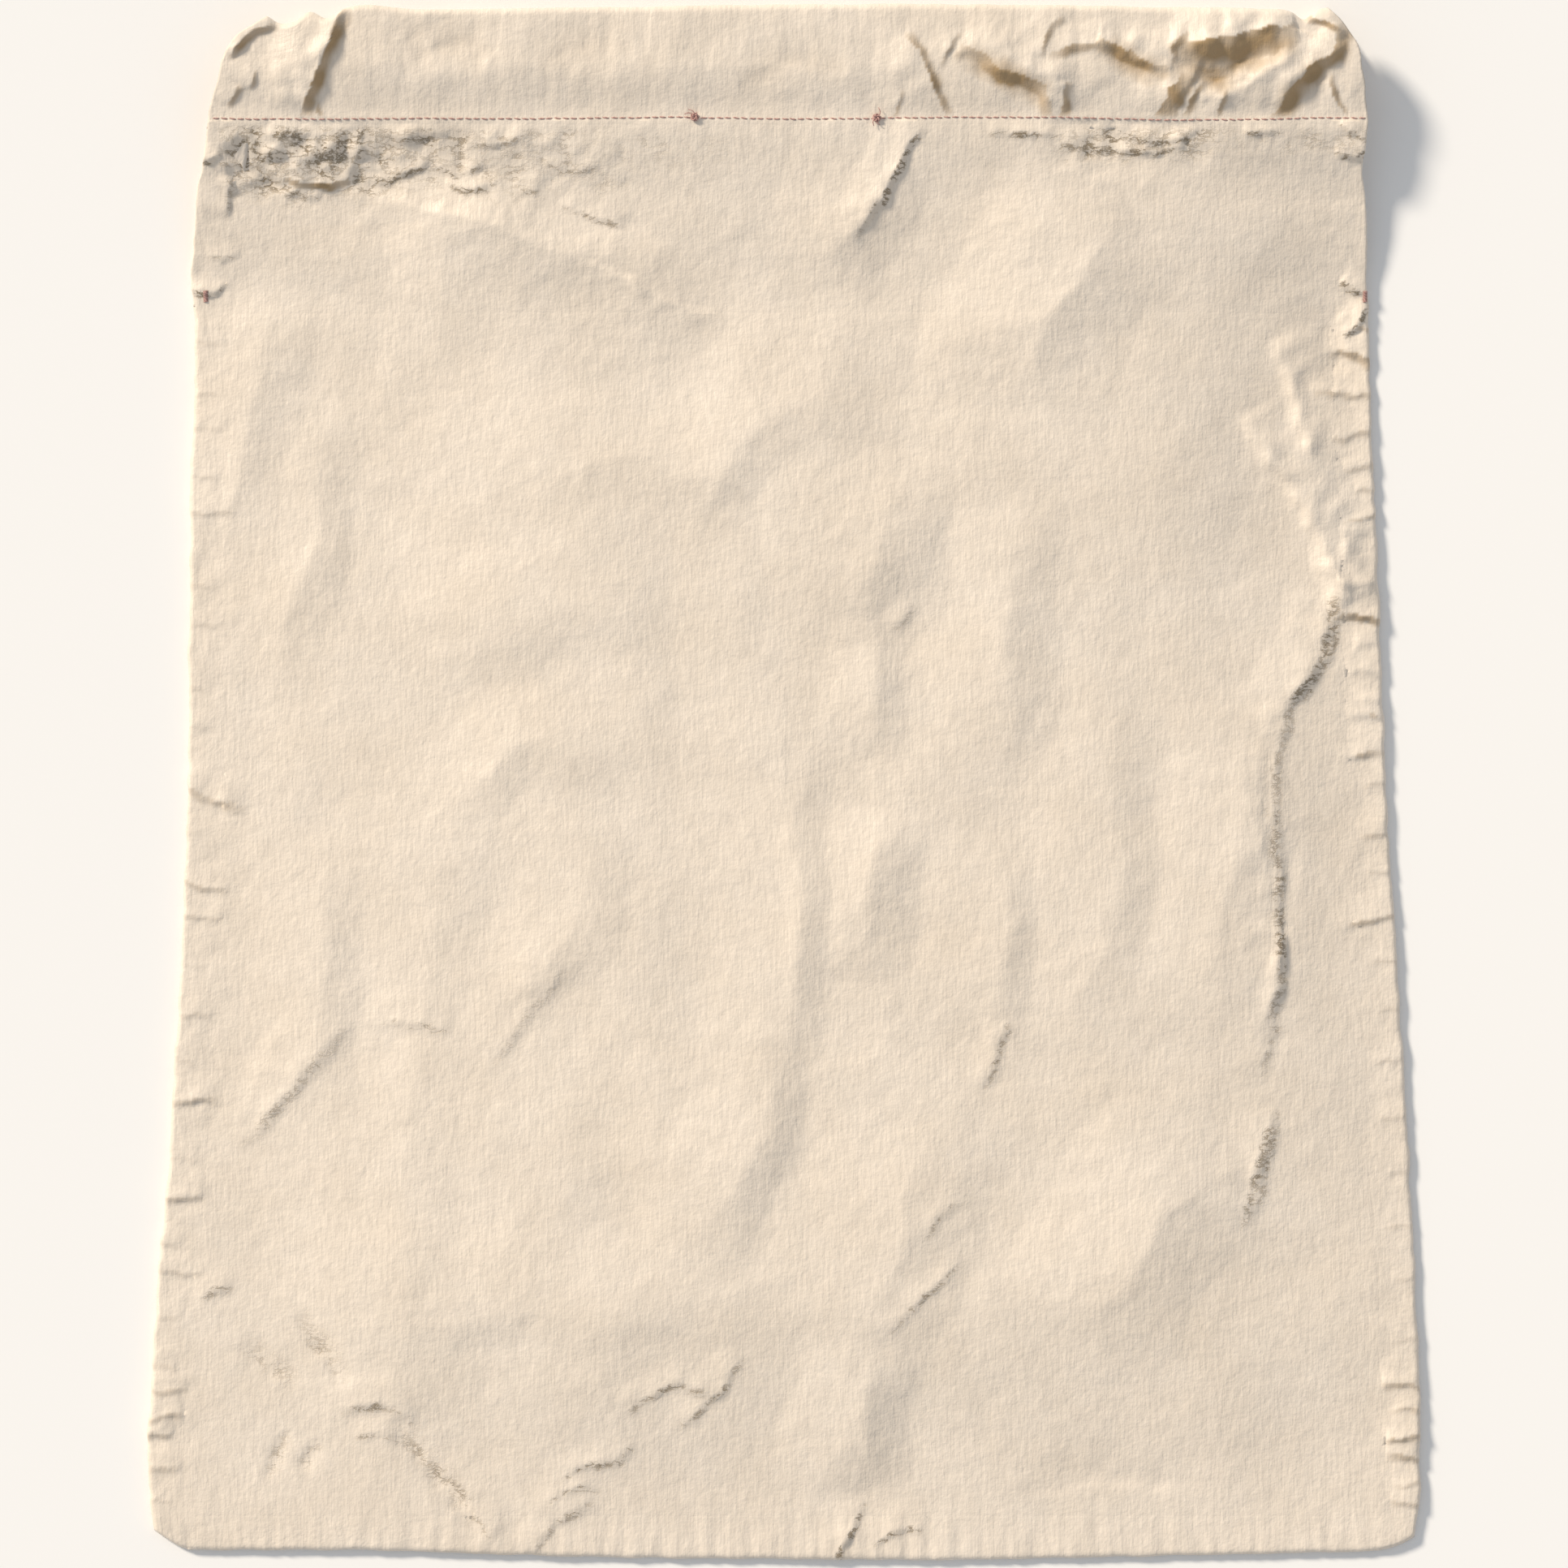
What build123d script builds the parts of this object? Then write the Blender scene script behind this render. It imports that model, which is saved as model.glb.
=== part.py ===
from build123d import *
import os

# Drawstring shoe bag lying flat on its back: +X to its right, +Y towards its mouth, +Z up.
# The origin is under the middle of the bag, on the surface that it lies on. Millimetres.
# The cloth is one folded length; it is cut here where the bag bends, so that each
# part can turn: pouch, mouth end, and front lip.

# driving dimensions
height = 400.0  # bottom fold to mouth edge
base_width = 330.0  # across the bottom fold
mouth_width = 300.0  # across the mouth edge
cloth = 0.6  # one ply, with its crinkle
pouch_gap = 6.0  # air between the front and back cloth of the empty bag
mouth_gap = 4.6  # air between the two casings
tunnel_gap = 4.6  # air inside a casing, where the drawcord runs
casing_depth = 29.0  # mouth edge to the stitch row
casing_ramp = 9.0  # from the stitch row to the casing's full height
pinch = 2.0  # width of the plies held together at the stitch row
slit_length = 72.0  # mouth edge to the foot of the side slits
fold_strip = 14.0  # from the fold line of the mouth end to the foot of the slits
seam = 10.0  # width of the side seam and of the slit hems
rise = 15.0  # width over which the front cloth climbs from seam or fold
crown = 0.1  # how far its middle still stands above its edges where it is sewn or folded
fold_depth = 10.0  # width of the strip that turns round the bottom
thread = 0.5  # sewing thread, laid along a row
seam_thread = 0.6  # row through the enclosed seam
tack_length = 3.0  # bar tack at the foot of a slit
tack_width = 1.4
tack_height = 0.7
tack_inset = 1.5  # from the side edge to the bar tack
knot_clearance = 0.1  # between a back-tack knot and the edge of its strip
knot_spacing = 47.0  # between the two knots
label_width = 45.0
label_length = 20.0
label_thickness = 0.4

# levels and places worked out from them
bottom_y = -height / 2
mouth_y = height / 2
stitch_y = mouth_y - casing_depth
slit_y = mouth_y - slit_length
fold_y = slit_y - fold_strip
back_top = cloth
edge_z = back_top + 2 * cloth  # underside of the front cloth where it lies on the seam
middle_z = back_top + pouch_gap  # underside of the front cloth over the pouch
casing_height = tunnel_gap + 2 * cloth
front_casing_z = casing_height + mouth_gap
lip_end_z = front_casing_z + cloth  # underside of the front cloth at the stitch row
row_y = stitch_y + pinch / 2  # middle of the flat strip that the rows are sewn along
knot_radius = pinch / 2 - knot_clearance
total_height = front_casing_z + casing_height
full_width = max(base_width, mouth_width)
cut_height = 2 * total_height


def half_width(y):
    """Half the bag's width at y: it narrows evenly from the bottom fold to the mouth."""
    share = (y - bottom_y) / height
    return (base_width + (mouth_width - base_width) * share) / 2


def strip_face(level, low, high, outer_inset, inner_inset, side):
    """A strip in plan along one side edge, from low to high in y; side is 1 right, -1 left."""
    with BuildSketch(Plane.XY.offset(level)) as strip:
        with BuildLine():
            Polyline(
                (side * (half_width(low) - outer_inset), low),
                (side * (half_width(high) - outer_inset), high),
                (side * (half_width(high) - inner_inset), high),
                (side * (half_width(low) - inner_inset), low),
                close=True,
            )
        make_face()
    return strip.sketch


def outline_face(level, low, high):
    """The bag's outline in plan between two y values."""
    with BuildSketch(Plane.XY.offset(level)) as outline:
        with BuildLine():
            Polyline(
                (-half_width(low), low),
                (half_width(low), low),
                (half_width(high), high),
                (-half_width(high), high),
                close=True,
            )
        make_face()
    return outline.sketch


def cloth_section(y, side_z, centre_z):
    """Section across the front cloth at y: flat on both seams, then up to the middle."""
    wide = half_width(y)
    under = [
        (-wide, side_z),
        (-wide + seam, side_z),
        (-wide + seam + rise, centre_z),
        (wide - seam - rise, centre_z),
        (wide - seam, side_z),
        (wide, side_z),
    ]
    over = [(x, z + cloth) for x, z in reversed(under)]
    with BuildSketch(Plane.XZ.offset(-y)) as section:
        with BuildLine():
            Polyline(*under, *over, close=True)
        make_face()
    return section.sketch


def hem_section(y, level, side):
    """Section across a slit hem at y: one ply turned in along the edge, under the cloth."""
    outer = side * half_width(y)
    inner = side * (half_width(y) - seam)
    with BuildSketch(Plane.XZ.offset(-y)) as section:
        with BuildLine():
            Polyline(
                (outer, level - cloth),
                (outer, level),
                (inner, level),
                (inner, level - cloth),
                close=True,
            )
        make_face()
    return section.sketch


def lip_underside(y):
    """Height of the underside of the front lip's middle at y, from the slits to the row."""
    share = (y - slit_y) / (stitch_y - slit_y)
    return middle_z + (lip_end_z + crown - middle_z) * share


def label_section(y):
    """Section across the woven label at y, lying against the underside of the lip."""
    top = lip_underside(y)
    with BuildSketch(Plane.XZ.offset(-y)) as section:
        with Locations((0, top - label_thickness / 2)):
            Rectangle(label_width, label_thickness)
    return section.sketch


def casing_section(base):
    """Section of a casing in Y and Z: a flat ply, the fold at the mouth, and the ply over it."""
    top = base + casing_height
    fold = casing_height / 2
    bore = fold - cloth
    with BuildSketch(Plane.YZ.offset(-full_width / 2)) as section:
        with BuildLine():
            outer_low = Line((stitch_y, base), (mouth_y - fold, base))
            outer_fold = ThreePointArc(
                outer_low @ 1, (mouth_y, base + fold), (mouth_y - fold, top)
            )
            Polyline(
                outer_fold @ 1,
                (stitch_y + casing_ramp, top),
                (stitch_y + pinch, base + 2 * cloth),
                (stitch_y, base + 2 * cloth),
                (stitch_y, base),
            )
        make_face()
        with BuildLine():
            inner_low = Line((stitch_y + pinch, base + cloth), (mouth_y - fold, base + cloth))
            inner_fold = ThreePointArc(
                inner_low @ 1,
                (mouth_y - fold + bore, base + fold),
                (mouth_y - fold, top - cloth),
            )
            Polyline(
                inner_fold @ 1,
                (stitch_y + casing_ramp, top - cloth),
                (stitch_y + pinch, base + cloth),
            )
        make_face(mode=Mode.SUBTRACT)
    return section.sketch


def keep(part, label):
    """Names a finished part and writes it to its own file."""
    part.label = label
    export_step(part, f"parts/{label}.step")


os.makedirs("parts", exist_ok=True)

# pouch: the part that holds the shoes

# front cloth, climbing from the bottom fold and from both side seams
with BuildPart() as front_panel:
    loft(
        sections=[
            cloth_section(bottom_y + fold_depth, edge_z, edge_z + crown),
            cloth_section(bottom_y + fold_depth + rise, edge_z, middle_z),
            cloth_section(fold_y, edge_z, middle_z),
        ],
        ruled=True,
    )
keep(front_panel.part, "front_panel")

# back cloth, flat on the table
with BuildPart() as back_panel:
    add(outline_face(0, bottom_y + fold_depth, fold_y))
    extrude(amount=cloth)
keep(back_panel.part, "back_panel")

# the same cloth turning round the bottom, from back to front
with BuildPart() as bottom_fold:
    outer_radius = (edge_z + cloth) / 2
    fold_end = bottom_y + fold_depth
    with BuildSketch(Plane.YZ.offset(-full_width / 2)):
        with BuildLine():
            back_line = Line((fold_end, 0), (bottom_y + outer_radius, 0))
            turn = ThreePointArc(
                back_line @ 1,
                (bottom_y, outer_radius),
                (bottom_y + outer_radius, 2 * outer_radius),
            )
            Polyline(
                turn @ 1,
                (fold_end, 2 * outer_radius),
                (fold_end, 2 * outer_radius - cloth),
                (bottom_y + outer_radius, 2 * outer_radius - cloth),
            )
            ThreePointArc(
                (bottom_y + outer_radius, 2 * outer_radius - cloth),
                (bottom_y + cloth, outer_radius),
                (bottom_y + outer_radius, cloth),
            )
            Polyline((bottom_y + outer_radius, cloth), (fold_end, cloth), (fold_end, 0))
        make_face()
    extrude(amount=full_width)
    add(outline_face(0, bottom_y, fold_end))
    extrude(amount=cut_height, mode=Mode.INTERSECT)
keep(bottom_fold.part, "bottom_fold")

# enclosed side seams: both raw edges folded in between the front and back cloth, and
# the thread row along their inner edge; below the fold line they are part of the pouch
for side, hand in ((-1, "left"), (1, "right")):
    with BuildPart() as seam_allowance:
        add(strip_face(cloth, bottom_y + 2 * cloth, fold_y, 0, seam - seam_thread, side))
        extrude(amount=2 * cloth)
    keep(seam_allowance.part, f"{hand}_seam_allowance")

    with BuildPart() as seam_row:
        add(strip_face(cloth, bottom_y + 2 * cloth, fold_y, seam - seam_thread, seam, side))
        extrude(amount=2 * cloth)
    keep(seam_row.part, f"{hand}_seam_thread")

# mouth end: everything above the fold line, apart from the front lip

# front cloth between the fold line and the foot of the slits
with BuildPart() as front_yoke:
    loft(
        sections=[
            cloth_section(fold_y, edge_z, middle_z),
            cloth_section(slit_y, edge_z, middle_z),
        ],
        ruled=True,
    )
keep(front_yoke.part, "front_yoke")

# back cloth up to the stitch row of its casing
with BuildPart() as back_yoke:
    add(outline_face(0, fold_y, stitch_y))
    extrude(amount=cloth)
keep(back_yoke.part, "back_yoke")

# top of each side seam, the bar tack that ends it, and the back slit hem above it
for side, hand in ((-1, "left"), (1, "right")):
    with BuildPart() as seam_top:
        add(strip_face(cloth, fold_y, slit_y, 0, seam, side))
        extrude(amount=2 * cloth)
    keep(seam_top.part, f"{hand}_seam_top")

    with BuildPart() as bar_tack:
        add(
            strip_face(
                edge_z + cloth,
                slit_y - tack_length,
                slit_y,
                tack_inset,
                tack_inset + tack_width,
                side,
            )
        )
        extrude(amount=tack_height)
    keep(bar_tack.part, f"{hand}_bar_tack")

    with BuildPart() as back_slit_hem:
        add(strip_face(cloth, slit_y, stitch_y, 0, seam, side))
        extrude(amount=cloth)
    keep(back_slit_hem.part, f"back_{hand}_slit_hem")

# back casing: the cloth turned in over itself at the mouth and sewn down
with BuildPart() as back_casing:
    add(casing_section(0))
    extrude(amount=full_width, dir=(1, 0, 0))
    add(outline_face(0, stitch_y, mouth_y))
    extrude(amount=cut_height, mode=Mode.INTERSECT)
keep(back_casing.part, "back_casing")

# its thread row, on the side that faces into the mouth
with BuildPart() as back_casing_thread:
    with BuildSketch(Plane.XY.offset(2 * cloth)):
        with Locations((0, row_y)):
            Rectangle(2 * half_width(mouth_y), thread)
    extrude(amount=thread)
keep(back_casing_thread.part, "back_casing_thread")

# front lip: the front cloth above the slits, with its casing

# it climbs from the pouch to the stitch row, over the back casing
with BuildPart() as front_lip_cloth:
    loft(
        sections=[
            cloth_section(slit_y, edge_z, middle_z),
            cloth_section(stitch_y, lip_end_z, lip_end_z + crown),
        ],
        ruled=True,
    )
keep(front_lip_cloth.part, "front_lip_cloth")

for side, hand in ((-1, "left"), (1, "right")):
    with BuildPart() as front_slit_hem:
        loft(
            sections=[
                hem_section(slit_y, edge_z, side),
                hem_section(stitch_y, lip_end_z, side),
            ],
            ruled=True,
        )
    keep(front_slit_hem.part, f"front_{hand}_slit_hem")

# front casing, sewn down along the one row that shows
with BuildPart() as front_casing:
    add(casing_section(front_casing_z))
    extrude(amount=full_width, dir=(1, 0, 0))
    add(outline_face(0, stitch_y, mouth_y))
    extrude(amount=cut_height, mode=Mode.INTERSECT)
keep(front_casing.part, "front_casing")

# the front row runs from side to side, broken by the two knots
front_row_z = front_casing_z + 2 * cloth
row_end = half_width(mouth_y)
knot_x = knot_spacing / 2
with BuildPart() as front_casing_thread:
    for start, end in (
        (-row_end, -knot_x - knot_radius),
        (-knot_x + knot_radius, knot_x - knot_radius),
        (knot_x + knot_radius, row_end),
    ):
        with BuildSketch(Plane.XY.offset(front_row_z)):
            with Locations(((start + end) / 2, row_y)):
                Rectangle(end - start, thread)
        extrude(amount=thread)
keep(front_casing_thread.part, "front_casing_thread")

# back-tack knots, one over each end of the label
for side, hand in ((-1, "left"), (1, "right")):
    with BuildPart(Plane.XY.offset(front_row_z)) as back_tack:
        with Locations((side * knot_x, row_y)):
            Sphere(knot_radius, arc_size1=0, align=(Align.CENTER, Align.CENTER, Align.MIN))
    keep(back_tack.part, f"{hand}_back_tack")

# blank woven label, caught in the row and hanging down inside the mouth
with BuildPart() as woven_label:
    loft(sections=[label_section(stitch_y - label_length), label_section(stitch_y)])
keep(woven_label.part, "woven_label")
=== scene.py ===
import math

import bpy
import numpy as np
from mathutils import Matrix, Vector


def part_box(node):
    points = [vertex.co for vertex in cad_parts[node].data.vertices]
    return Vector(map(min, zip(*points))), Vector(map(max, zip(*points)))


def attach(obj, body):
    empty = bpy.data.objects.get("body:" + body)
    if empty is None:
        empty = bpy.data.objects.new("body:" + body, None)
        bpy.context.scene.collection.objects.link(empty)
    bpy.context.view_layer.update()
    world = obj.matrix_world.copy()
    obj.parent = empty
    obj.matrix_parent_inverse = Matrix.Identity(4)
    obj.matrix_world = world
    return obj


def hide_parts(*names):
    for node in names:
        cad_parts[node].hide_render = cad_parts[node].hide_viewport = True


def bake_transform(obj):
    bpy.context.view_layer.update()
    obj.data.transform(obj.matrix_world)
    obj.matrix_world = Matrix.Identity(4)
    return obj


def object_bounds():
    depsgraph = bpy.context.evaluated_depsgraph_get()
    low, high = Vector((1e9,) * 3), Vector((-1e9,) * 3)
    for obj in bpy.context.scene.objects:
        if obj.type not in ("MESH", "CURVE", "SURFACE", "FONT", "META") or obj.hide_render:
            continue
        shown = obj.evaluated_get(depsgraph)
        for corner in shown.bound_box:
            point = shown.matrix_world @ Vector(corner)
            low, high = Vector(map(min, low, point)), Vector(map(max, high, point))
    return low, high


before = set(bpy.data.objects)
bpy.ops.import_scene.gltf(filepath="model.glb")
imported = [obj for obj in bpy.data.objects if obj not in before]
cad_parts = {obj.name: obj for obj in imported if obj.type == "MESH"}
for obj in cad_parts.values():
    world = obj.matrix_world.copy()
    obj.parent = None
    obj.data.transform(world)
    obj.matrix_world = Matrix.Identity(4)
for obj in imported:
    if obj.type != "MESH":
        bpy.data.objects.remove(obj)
cad_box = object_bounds()

# ---- Camera -------------------------------------------------------------------------
# A long lens looks straight down on the middle of the bag, so that its outline shows
# with almost no perspective. The bag fills the height of the view.
FIELD = 0.406  # metres of table across the view
LENS = 150.0  # mm
SENSOR = 36.0  # mm
AIM = -0.0004  # metres right of the bag's middle, where the lens points
lens = bpy.data.cameras.new("camera")
lens.lens = LENS
lens.sensor_width = SENSOR
camera = bpy.data.objects.new("camera", lens)
camera.location = (AIM, 0.0, cad_box[1].z / 2 + FIELD * LENS / SENSOR)
bpy.context.scene.collection.objects.link(camera)
bpy.context.scene.camera = camera
bpy.context.scene.view_settings.view_transform = "Standard"

# ---- Table and light ----------------------------------------------------------------
# A plain pale table. One large warm lamp stands low beyond the bag's upper left corner
# and skims the cloth, so that each wrinkle shows; pale walls all round fill the shadows.
LAMP_HEIGHT = 29.0  # degrees above the table
LAMP_TURN = 50.0  # degrees from the mouth's side of the bag towards its left
LAMP_WIDTH = 11.0  # degrees of sky that the lamp fills, which softens its shadows
LAMP_POWER = 3.75
WALL_LIGHT = 0.56
TABLE_REACH = 3.0  # metres from the bag to the table's edge


def linear(code):
    """An sRGB hex colour as linear red, green, blue and alpha."""
    part = np.array([int(code[i : i + 2], 16) for i in (1, 3, 5)]) / 255
    part = np.where(part <= 0.04045, part / 12.92, ((part + 0.055) / 1.055) ** 2.4)
    return (*part.tolist(), 1.0)


def node(tree, kind, settings=None, links=None):
    """Adds a shader node: settings are its own or its inputs' values, links its inputs' sources."""
    made = tree.nodes.new(kind)
    for key, value in (settings or {}).items():
        if isinstance(key, str) and hasattr(made, key):
            setattr(made, key, value)
        else:
            made.inputs[key].default_value = value
    for key, source in (links or {}).items():
        tree.links.new(source, made.inputs[key])
    return made


def new_material(name):
    """An empty material and its node tree."""
    made = bpy.data.materials.new(name)
    made.use_nodes = True
    made.node_tree.nodes.clear()
    return made, made.node_tree


table_paint, tree = new_material("matt_white_table")
shader = node(
    tree, "ShaderNodeBsdfPrincipled", {"Base Color": linear("#F4F3F1"), "Roughness": 0.9}
)
node(tree, "ShaderNodeOutputMaterial", links={"Surface": shader.outputs[0]})
mesh = bpy.data.meshes.new("table")
corners = [(a * TABLE_REACH, b * TABLE_REACH, 0) for a, b in ((-1, -1), (1, -1), (1, 1), (-1, 1))]
mesh.from_pydata(corners, [], [(0, 1, 2, 3)])
mesh.materials.append(table_paint)
table = bpy.data.objects.new("table", mesh)
bpy.context.scene.collection.objects.link(table)

sun = bpy.data.lights.new("lamp", "SUN")
sun.energy = LAMP_POWER
sun.angle = math.radians(LAMP_WIDTH)
sun.color = linear("#FFF3E2")[:3]
lamp = bpy.data.objects.new("lamp", sun)
lamp.rotation_euler = (0.0, math.radians(90.0 - LAMP_HEIGHT), math.radians(90.0 + LAMP_TURN))
bpy.context.scene.collection.objects.link(lamp)

world = bpy.data.worlds.new("room")
world.use_nodes = True
world.node_tree.nodes["Background"].inputs[0].default_value = linear("#EEF2F8")
world.node_tree.nodes["Background"].inputs[1].default_value = WALL_LIGHT
bpy.context.scene.world = world

# ---- Front cloth --------------------------------------------------------------------
# The front of the bag, from the bottom fold to just below the side slits: one ply of
# crinkled nylon taffeta, thin and papery, with a slight satin sheen. It lies loosely on
# the back cloth and is sewn to it only along its sides, so it keeps every fold and dent.
MM = 0.001
PLY = 0.28  # mm, thickness of the cloth with its crinkle
SEAM = 10.0  # mm from the side edge to the inner line of the seam
CLIMB = 60.0  # mm over which the front cloth rises from seam or fold to its full height
LEFT_CLIMB = 1.9  # times as long on the left, where the cloth lies flatter
DEEPEST = 1.2  # mm, the most that a ply's inner side lies further in at a sharp bend
LAP = 1.2  # mm by which two pieces of cloth pass each other where they join
LAP_DIP = 0.1  # mm by which each one sinks under the other there
STEP = 1.2  # mm between the points of the front cloth
HALF = 155  # mm, about half the bag's width

turn_low, turn_high = (np.array(corner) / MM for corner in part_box("bottom_fold"))
casing_low, casing_high = (np.array(corner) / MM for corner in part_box("front_casing"))
yoke_low, yoke_high = (np.array(corner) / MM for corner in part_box("front_yoke"))
BOTTOM = turn_low[1]
FOLD_END = turn_high[1]  # where the strip round the bottom ends
MOUTH = casing_high[1]
ROW = casing_low[1]  # lower edge of the strip that the stitch row holds
SLIT_FOOT = yoke_high[1]
HINGE = yoke_low[1]
MIDDLE = yoke_high[2]  # height of the front cloth over the pouch
EDGE = turn_high[2]  # height of the front cloth on the seams
ROW_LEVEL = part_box("front_lip_cloth")[1].z / MM
LIP_START = HINGE + 8.0  # the front cloth ends here and the lip's cloth starts
OPEN_START = SLIT_FOOT - 4.0  # the lip starts to turn here when the mouth opens
NET = 256  # points along each side of a net of random values
WIDE_FOLD = 9.0  # mm; a fold whose gentle side is wider than this is a soft swell
DEEP_BROWN = 0.3  # a fold whose painted shade is browner than this shows through the painted crease shade of crushed cloth

# half the bag's width at points from the bottom up, in mm: it narrows unevenly, because
# the seams pull, and both sides lean in towards the mouth edge
LEFT_EDGE = [
    (-200, 164.2), (-187, 165.3), (-173, 165.8), (-158, 165.0), (-133, 163.6), (-108, 161.2),
    (-60, 158.0), (-7, 155.5), (35, 155.1), (77, 154.6), (119, 153.7), (128, 154.2),
    (146, 153.2), (158, 151.6), (163, 150.6), (171, 149.3), (180, 147.4), (188, 144.9),
    (194, 141.0), (198, 135.6), (201, 133.0),
]
RIGHT_EDGE = [
    (-200, 163.4), (-188, 164.8), (-173, 165.0), (-140, 164.2), (-112, 162.8), (-49, 159.2),
    (-7, 156.4), (35, 154.6), (77, 153.0), (119, 151.4), (130, 151.0), (150, 150.4),
    (160, 149.4), (171, 150.8), (178, 149.9), (185, 148.9), (192, 147.2), (196, 144.0),
    (199, 141.0), (201, 139.6),
]


def through(points, at):
    """A smooth curve through given points: cubic pieces whose slope at each point is the
    mean of the slopes on its two sides."""
    px, py = np.array(points, float).T
    slope = np.gradient(py, px)
    at = np.clip(at, px[0], px[-1])
    i = np.clip(np.searchsorted(px, at) - 1, 0, len(px) - 2)
    wide = px[i + 1] - px[i]
    t = (at - px[i]) / wide
    return (
        py[i] * (1 + 2 * t) * (1 - t) ** 2
        + py[i + 1] * t * t * (3 - 2 * t)
        + wide * (slope[i] * t * (1 - t) ** 2 - slope[i + 1] * t * t * (1 - t))
    )


def ease(value, start, end):
    """0 before start and 1 after end, with a smooth S between them."""
    t = np.clip((value - start) / (end - start), 0, 1)
    return t * t * (3 - 2 * t)


def on_net(x, y, size, turn, shift):
    """Places on a net whose spacing is size. It is turned by an angle in radians, so that the
    nets of two seeds don't line up, and shifted, so that its start lies off the bag."""
    return (
        (x * math.cos(turn) - y * math.sin(turn)) / size + shift[0],
        (x * math.sin(turn) + y * math.cos(turn)) / size + shift[1],
    )


def soft_noise(x, y, size, seed):
    """Smooth random waves from -1 to 1: each point of a square net with this spacing has a
    random slope, and between the points the slopes fade into each other."""
    x, y = on_net(x, y, size, 0.7 * seed, (31.7, 57.3))
    way = np.random.default_rng(seed).uniform(0, 2 * math.pi, (NET, NET))
    i, j = np.floor(x).astype(int), np.floor(y).astype(int)
    u, v = x - i, y - j
    total = 0
    for a in (0, 1):
        for b in (0, 1):
            angle = way[(i + a) % NET, (j + b) % NET]
            fade = ease(1 - abs(u - a), 0, 1) * ease(1 - abs(v - b), 0, 1)
            total = total + fade * ((u - a) * np.cos(angle) + (v - b) * np.sin(angle))
    return 1.6 * total


def crumple(x, y, size, seed):
    """Papery dents from -1 to 1: random heights on a net of triangles with this spacing, flat
    between the net's lines, which wander because the net is warped by soft noise."""
    x, y = (
        x + 0.55 * size * soft_noise(x, y, 1.7 * size, seed + 1),
        y + 0.55 * size * soft_noise(x, y, 1.7 * size, seed + 2),
    )
    x, y = on_net(x, y, size, 1.3 * seed, (83.1, 97.9))
    height = np.random.default_rng(seed).uniform(-1, 1, (NET, NET))
    a, b = x - y / math.sqrt(3), 2 * y / math.sqrt(3)
    i, j = np.floor(a).astype(int), np.floor(b).astype(int)
    u, v = a - i, b - j
    low = height[i % NET, j % NET]
    right = height[(i + 1) % NET, j % NET]
    up = height[i % NET, (j + 1) % NET]
    far = height[(i + 1) % NET, (j + 1) % NET]
    near_half = low + u * (right - low) + v * (up - low)
    far_half = far + (1 - u) * (up - far) + (1 - v) * (right - far)
    return np.where(u + v < 1, near_half, far_half)


def edge_x(y, side):
    """Distance of the bag's side edge from its middle at y, with the small waves of the seam."""
    plain = through(LEFT_EDGE if side < 0 else RIGHT_EDGE, y)
    wave = soft_noise(y, y * 0 + 40 * side, 9.0, 5) + 0.6 * soft_noise(y, y * 0, 3.6, 6 + side)
    return plain + 0.45 * wave


def half_width(x, y):
    """Distance from the bag's middle to the edge on the same side as x, at y."""
    return np.where(x < 0, edge_x(y, -1), edge_x(y, 1))


def rounded(points):
    """A fold's line with its corners rounded: four steps between given points."""
    points = np.array(points, float)
    if len(points) < 3:
        return points
    count = np.arange(len(points))
    fine = np.linspace(0, len(points) - 1, 4 * (len(points) - 1) + 1)
    return np.stack([through(np.c_[count, points[:, k]], fine) for k in (0, 1)], axis=1)


def falloff(far, width):
    """How a fold's height dies away from its line: as a round bell on a narrow side, and as a
    flat slope with a crisp foot on a wide one, because papery cloth bends in flat facets."""
    if width < 3:
        return np.exp(-((far / width) ** 2))
    return (1 - far / (1.5 * width)).clip(0, None)


def beside(line, at):
    """Where points lie beside a fold's line: how far from it, whether on the right of its
    run, and what share of its length comes before them."""
    start, run = line[:-1], np.diff(line, axis=0)
    length = np.hypot(*run.T)
    along = np.clip(((at - start) * run).sum(2) / length**2, 0, 1)
    off = at - start - along[:, :, None] * run
    far = np.hypot(off[:, :, 0], off[:, :, 1])
    best = far.argmin(1)
    pick = np.arange(len(best))
    run, off = run[best], off[pick, best]
    right = off[:, 0] * run[:, 1] - off[:, 1] * run[:, 0] > 0
    before = np.concatenate([[0], np.cumsum(length)])
    share = (before[best] + along[pick, best] * length[best]) / before[-1]
    return far[pick, best], right, share


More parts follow.
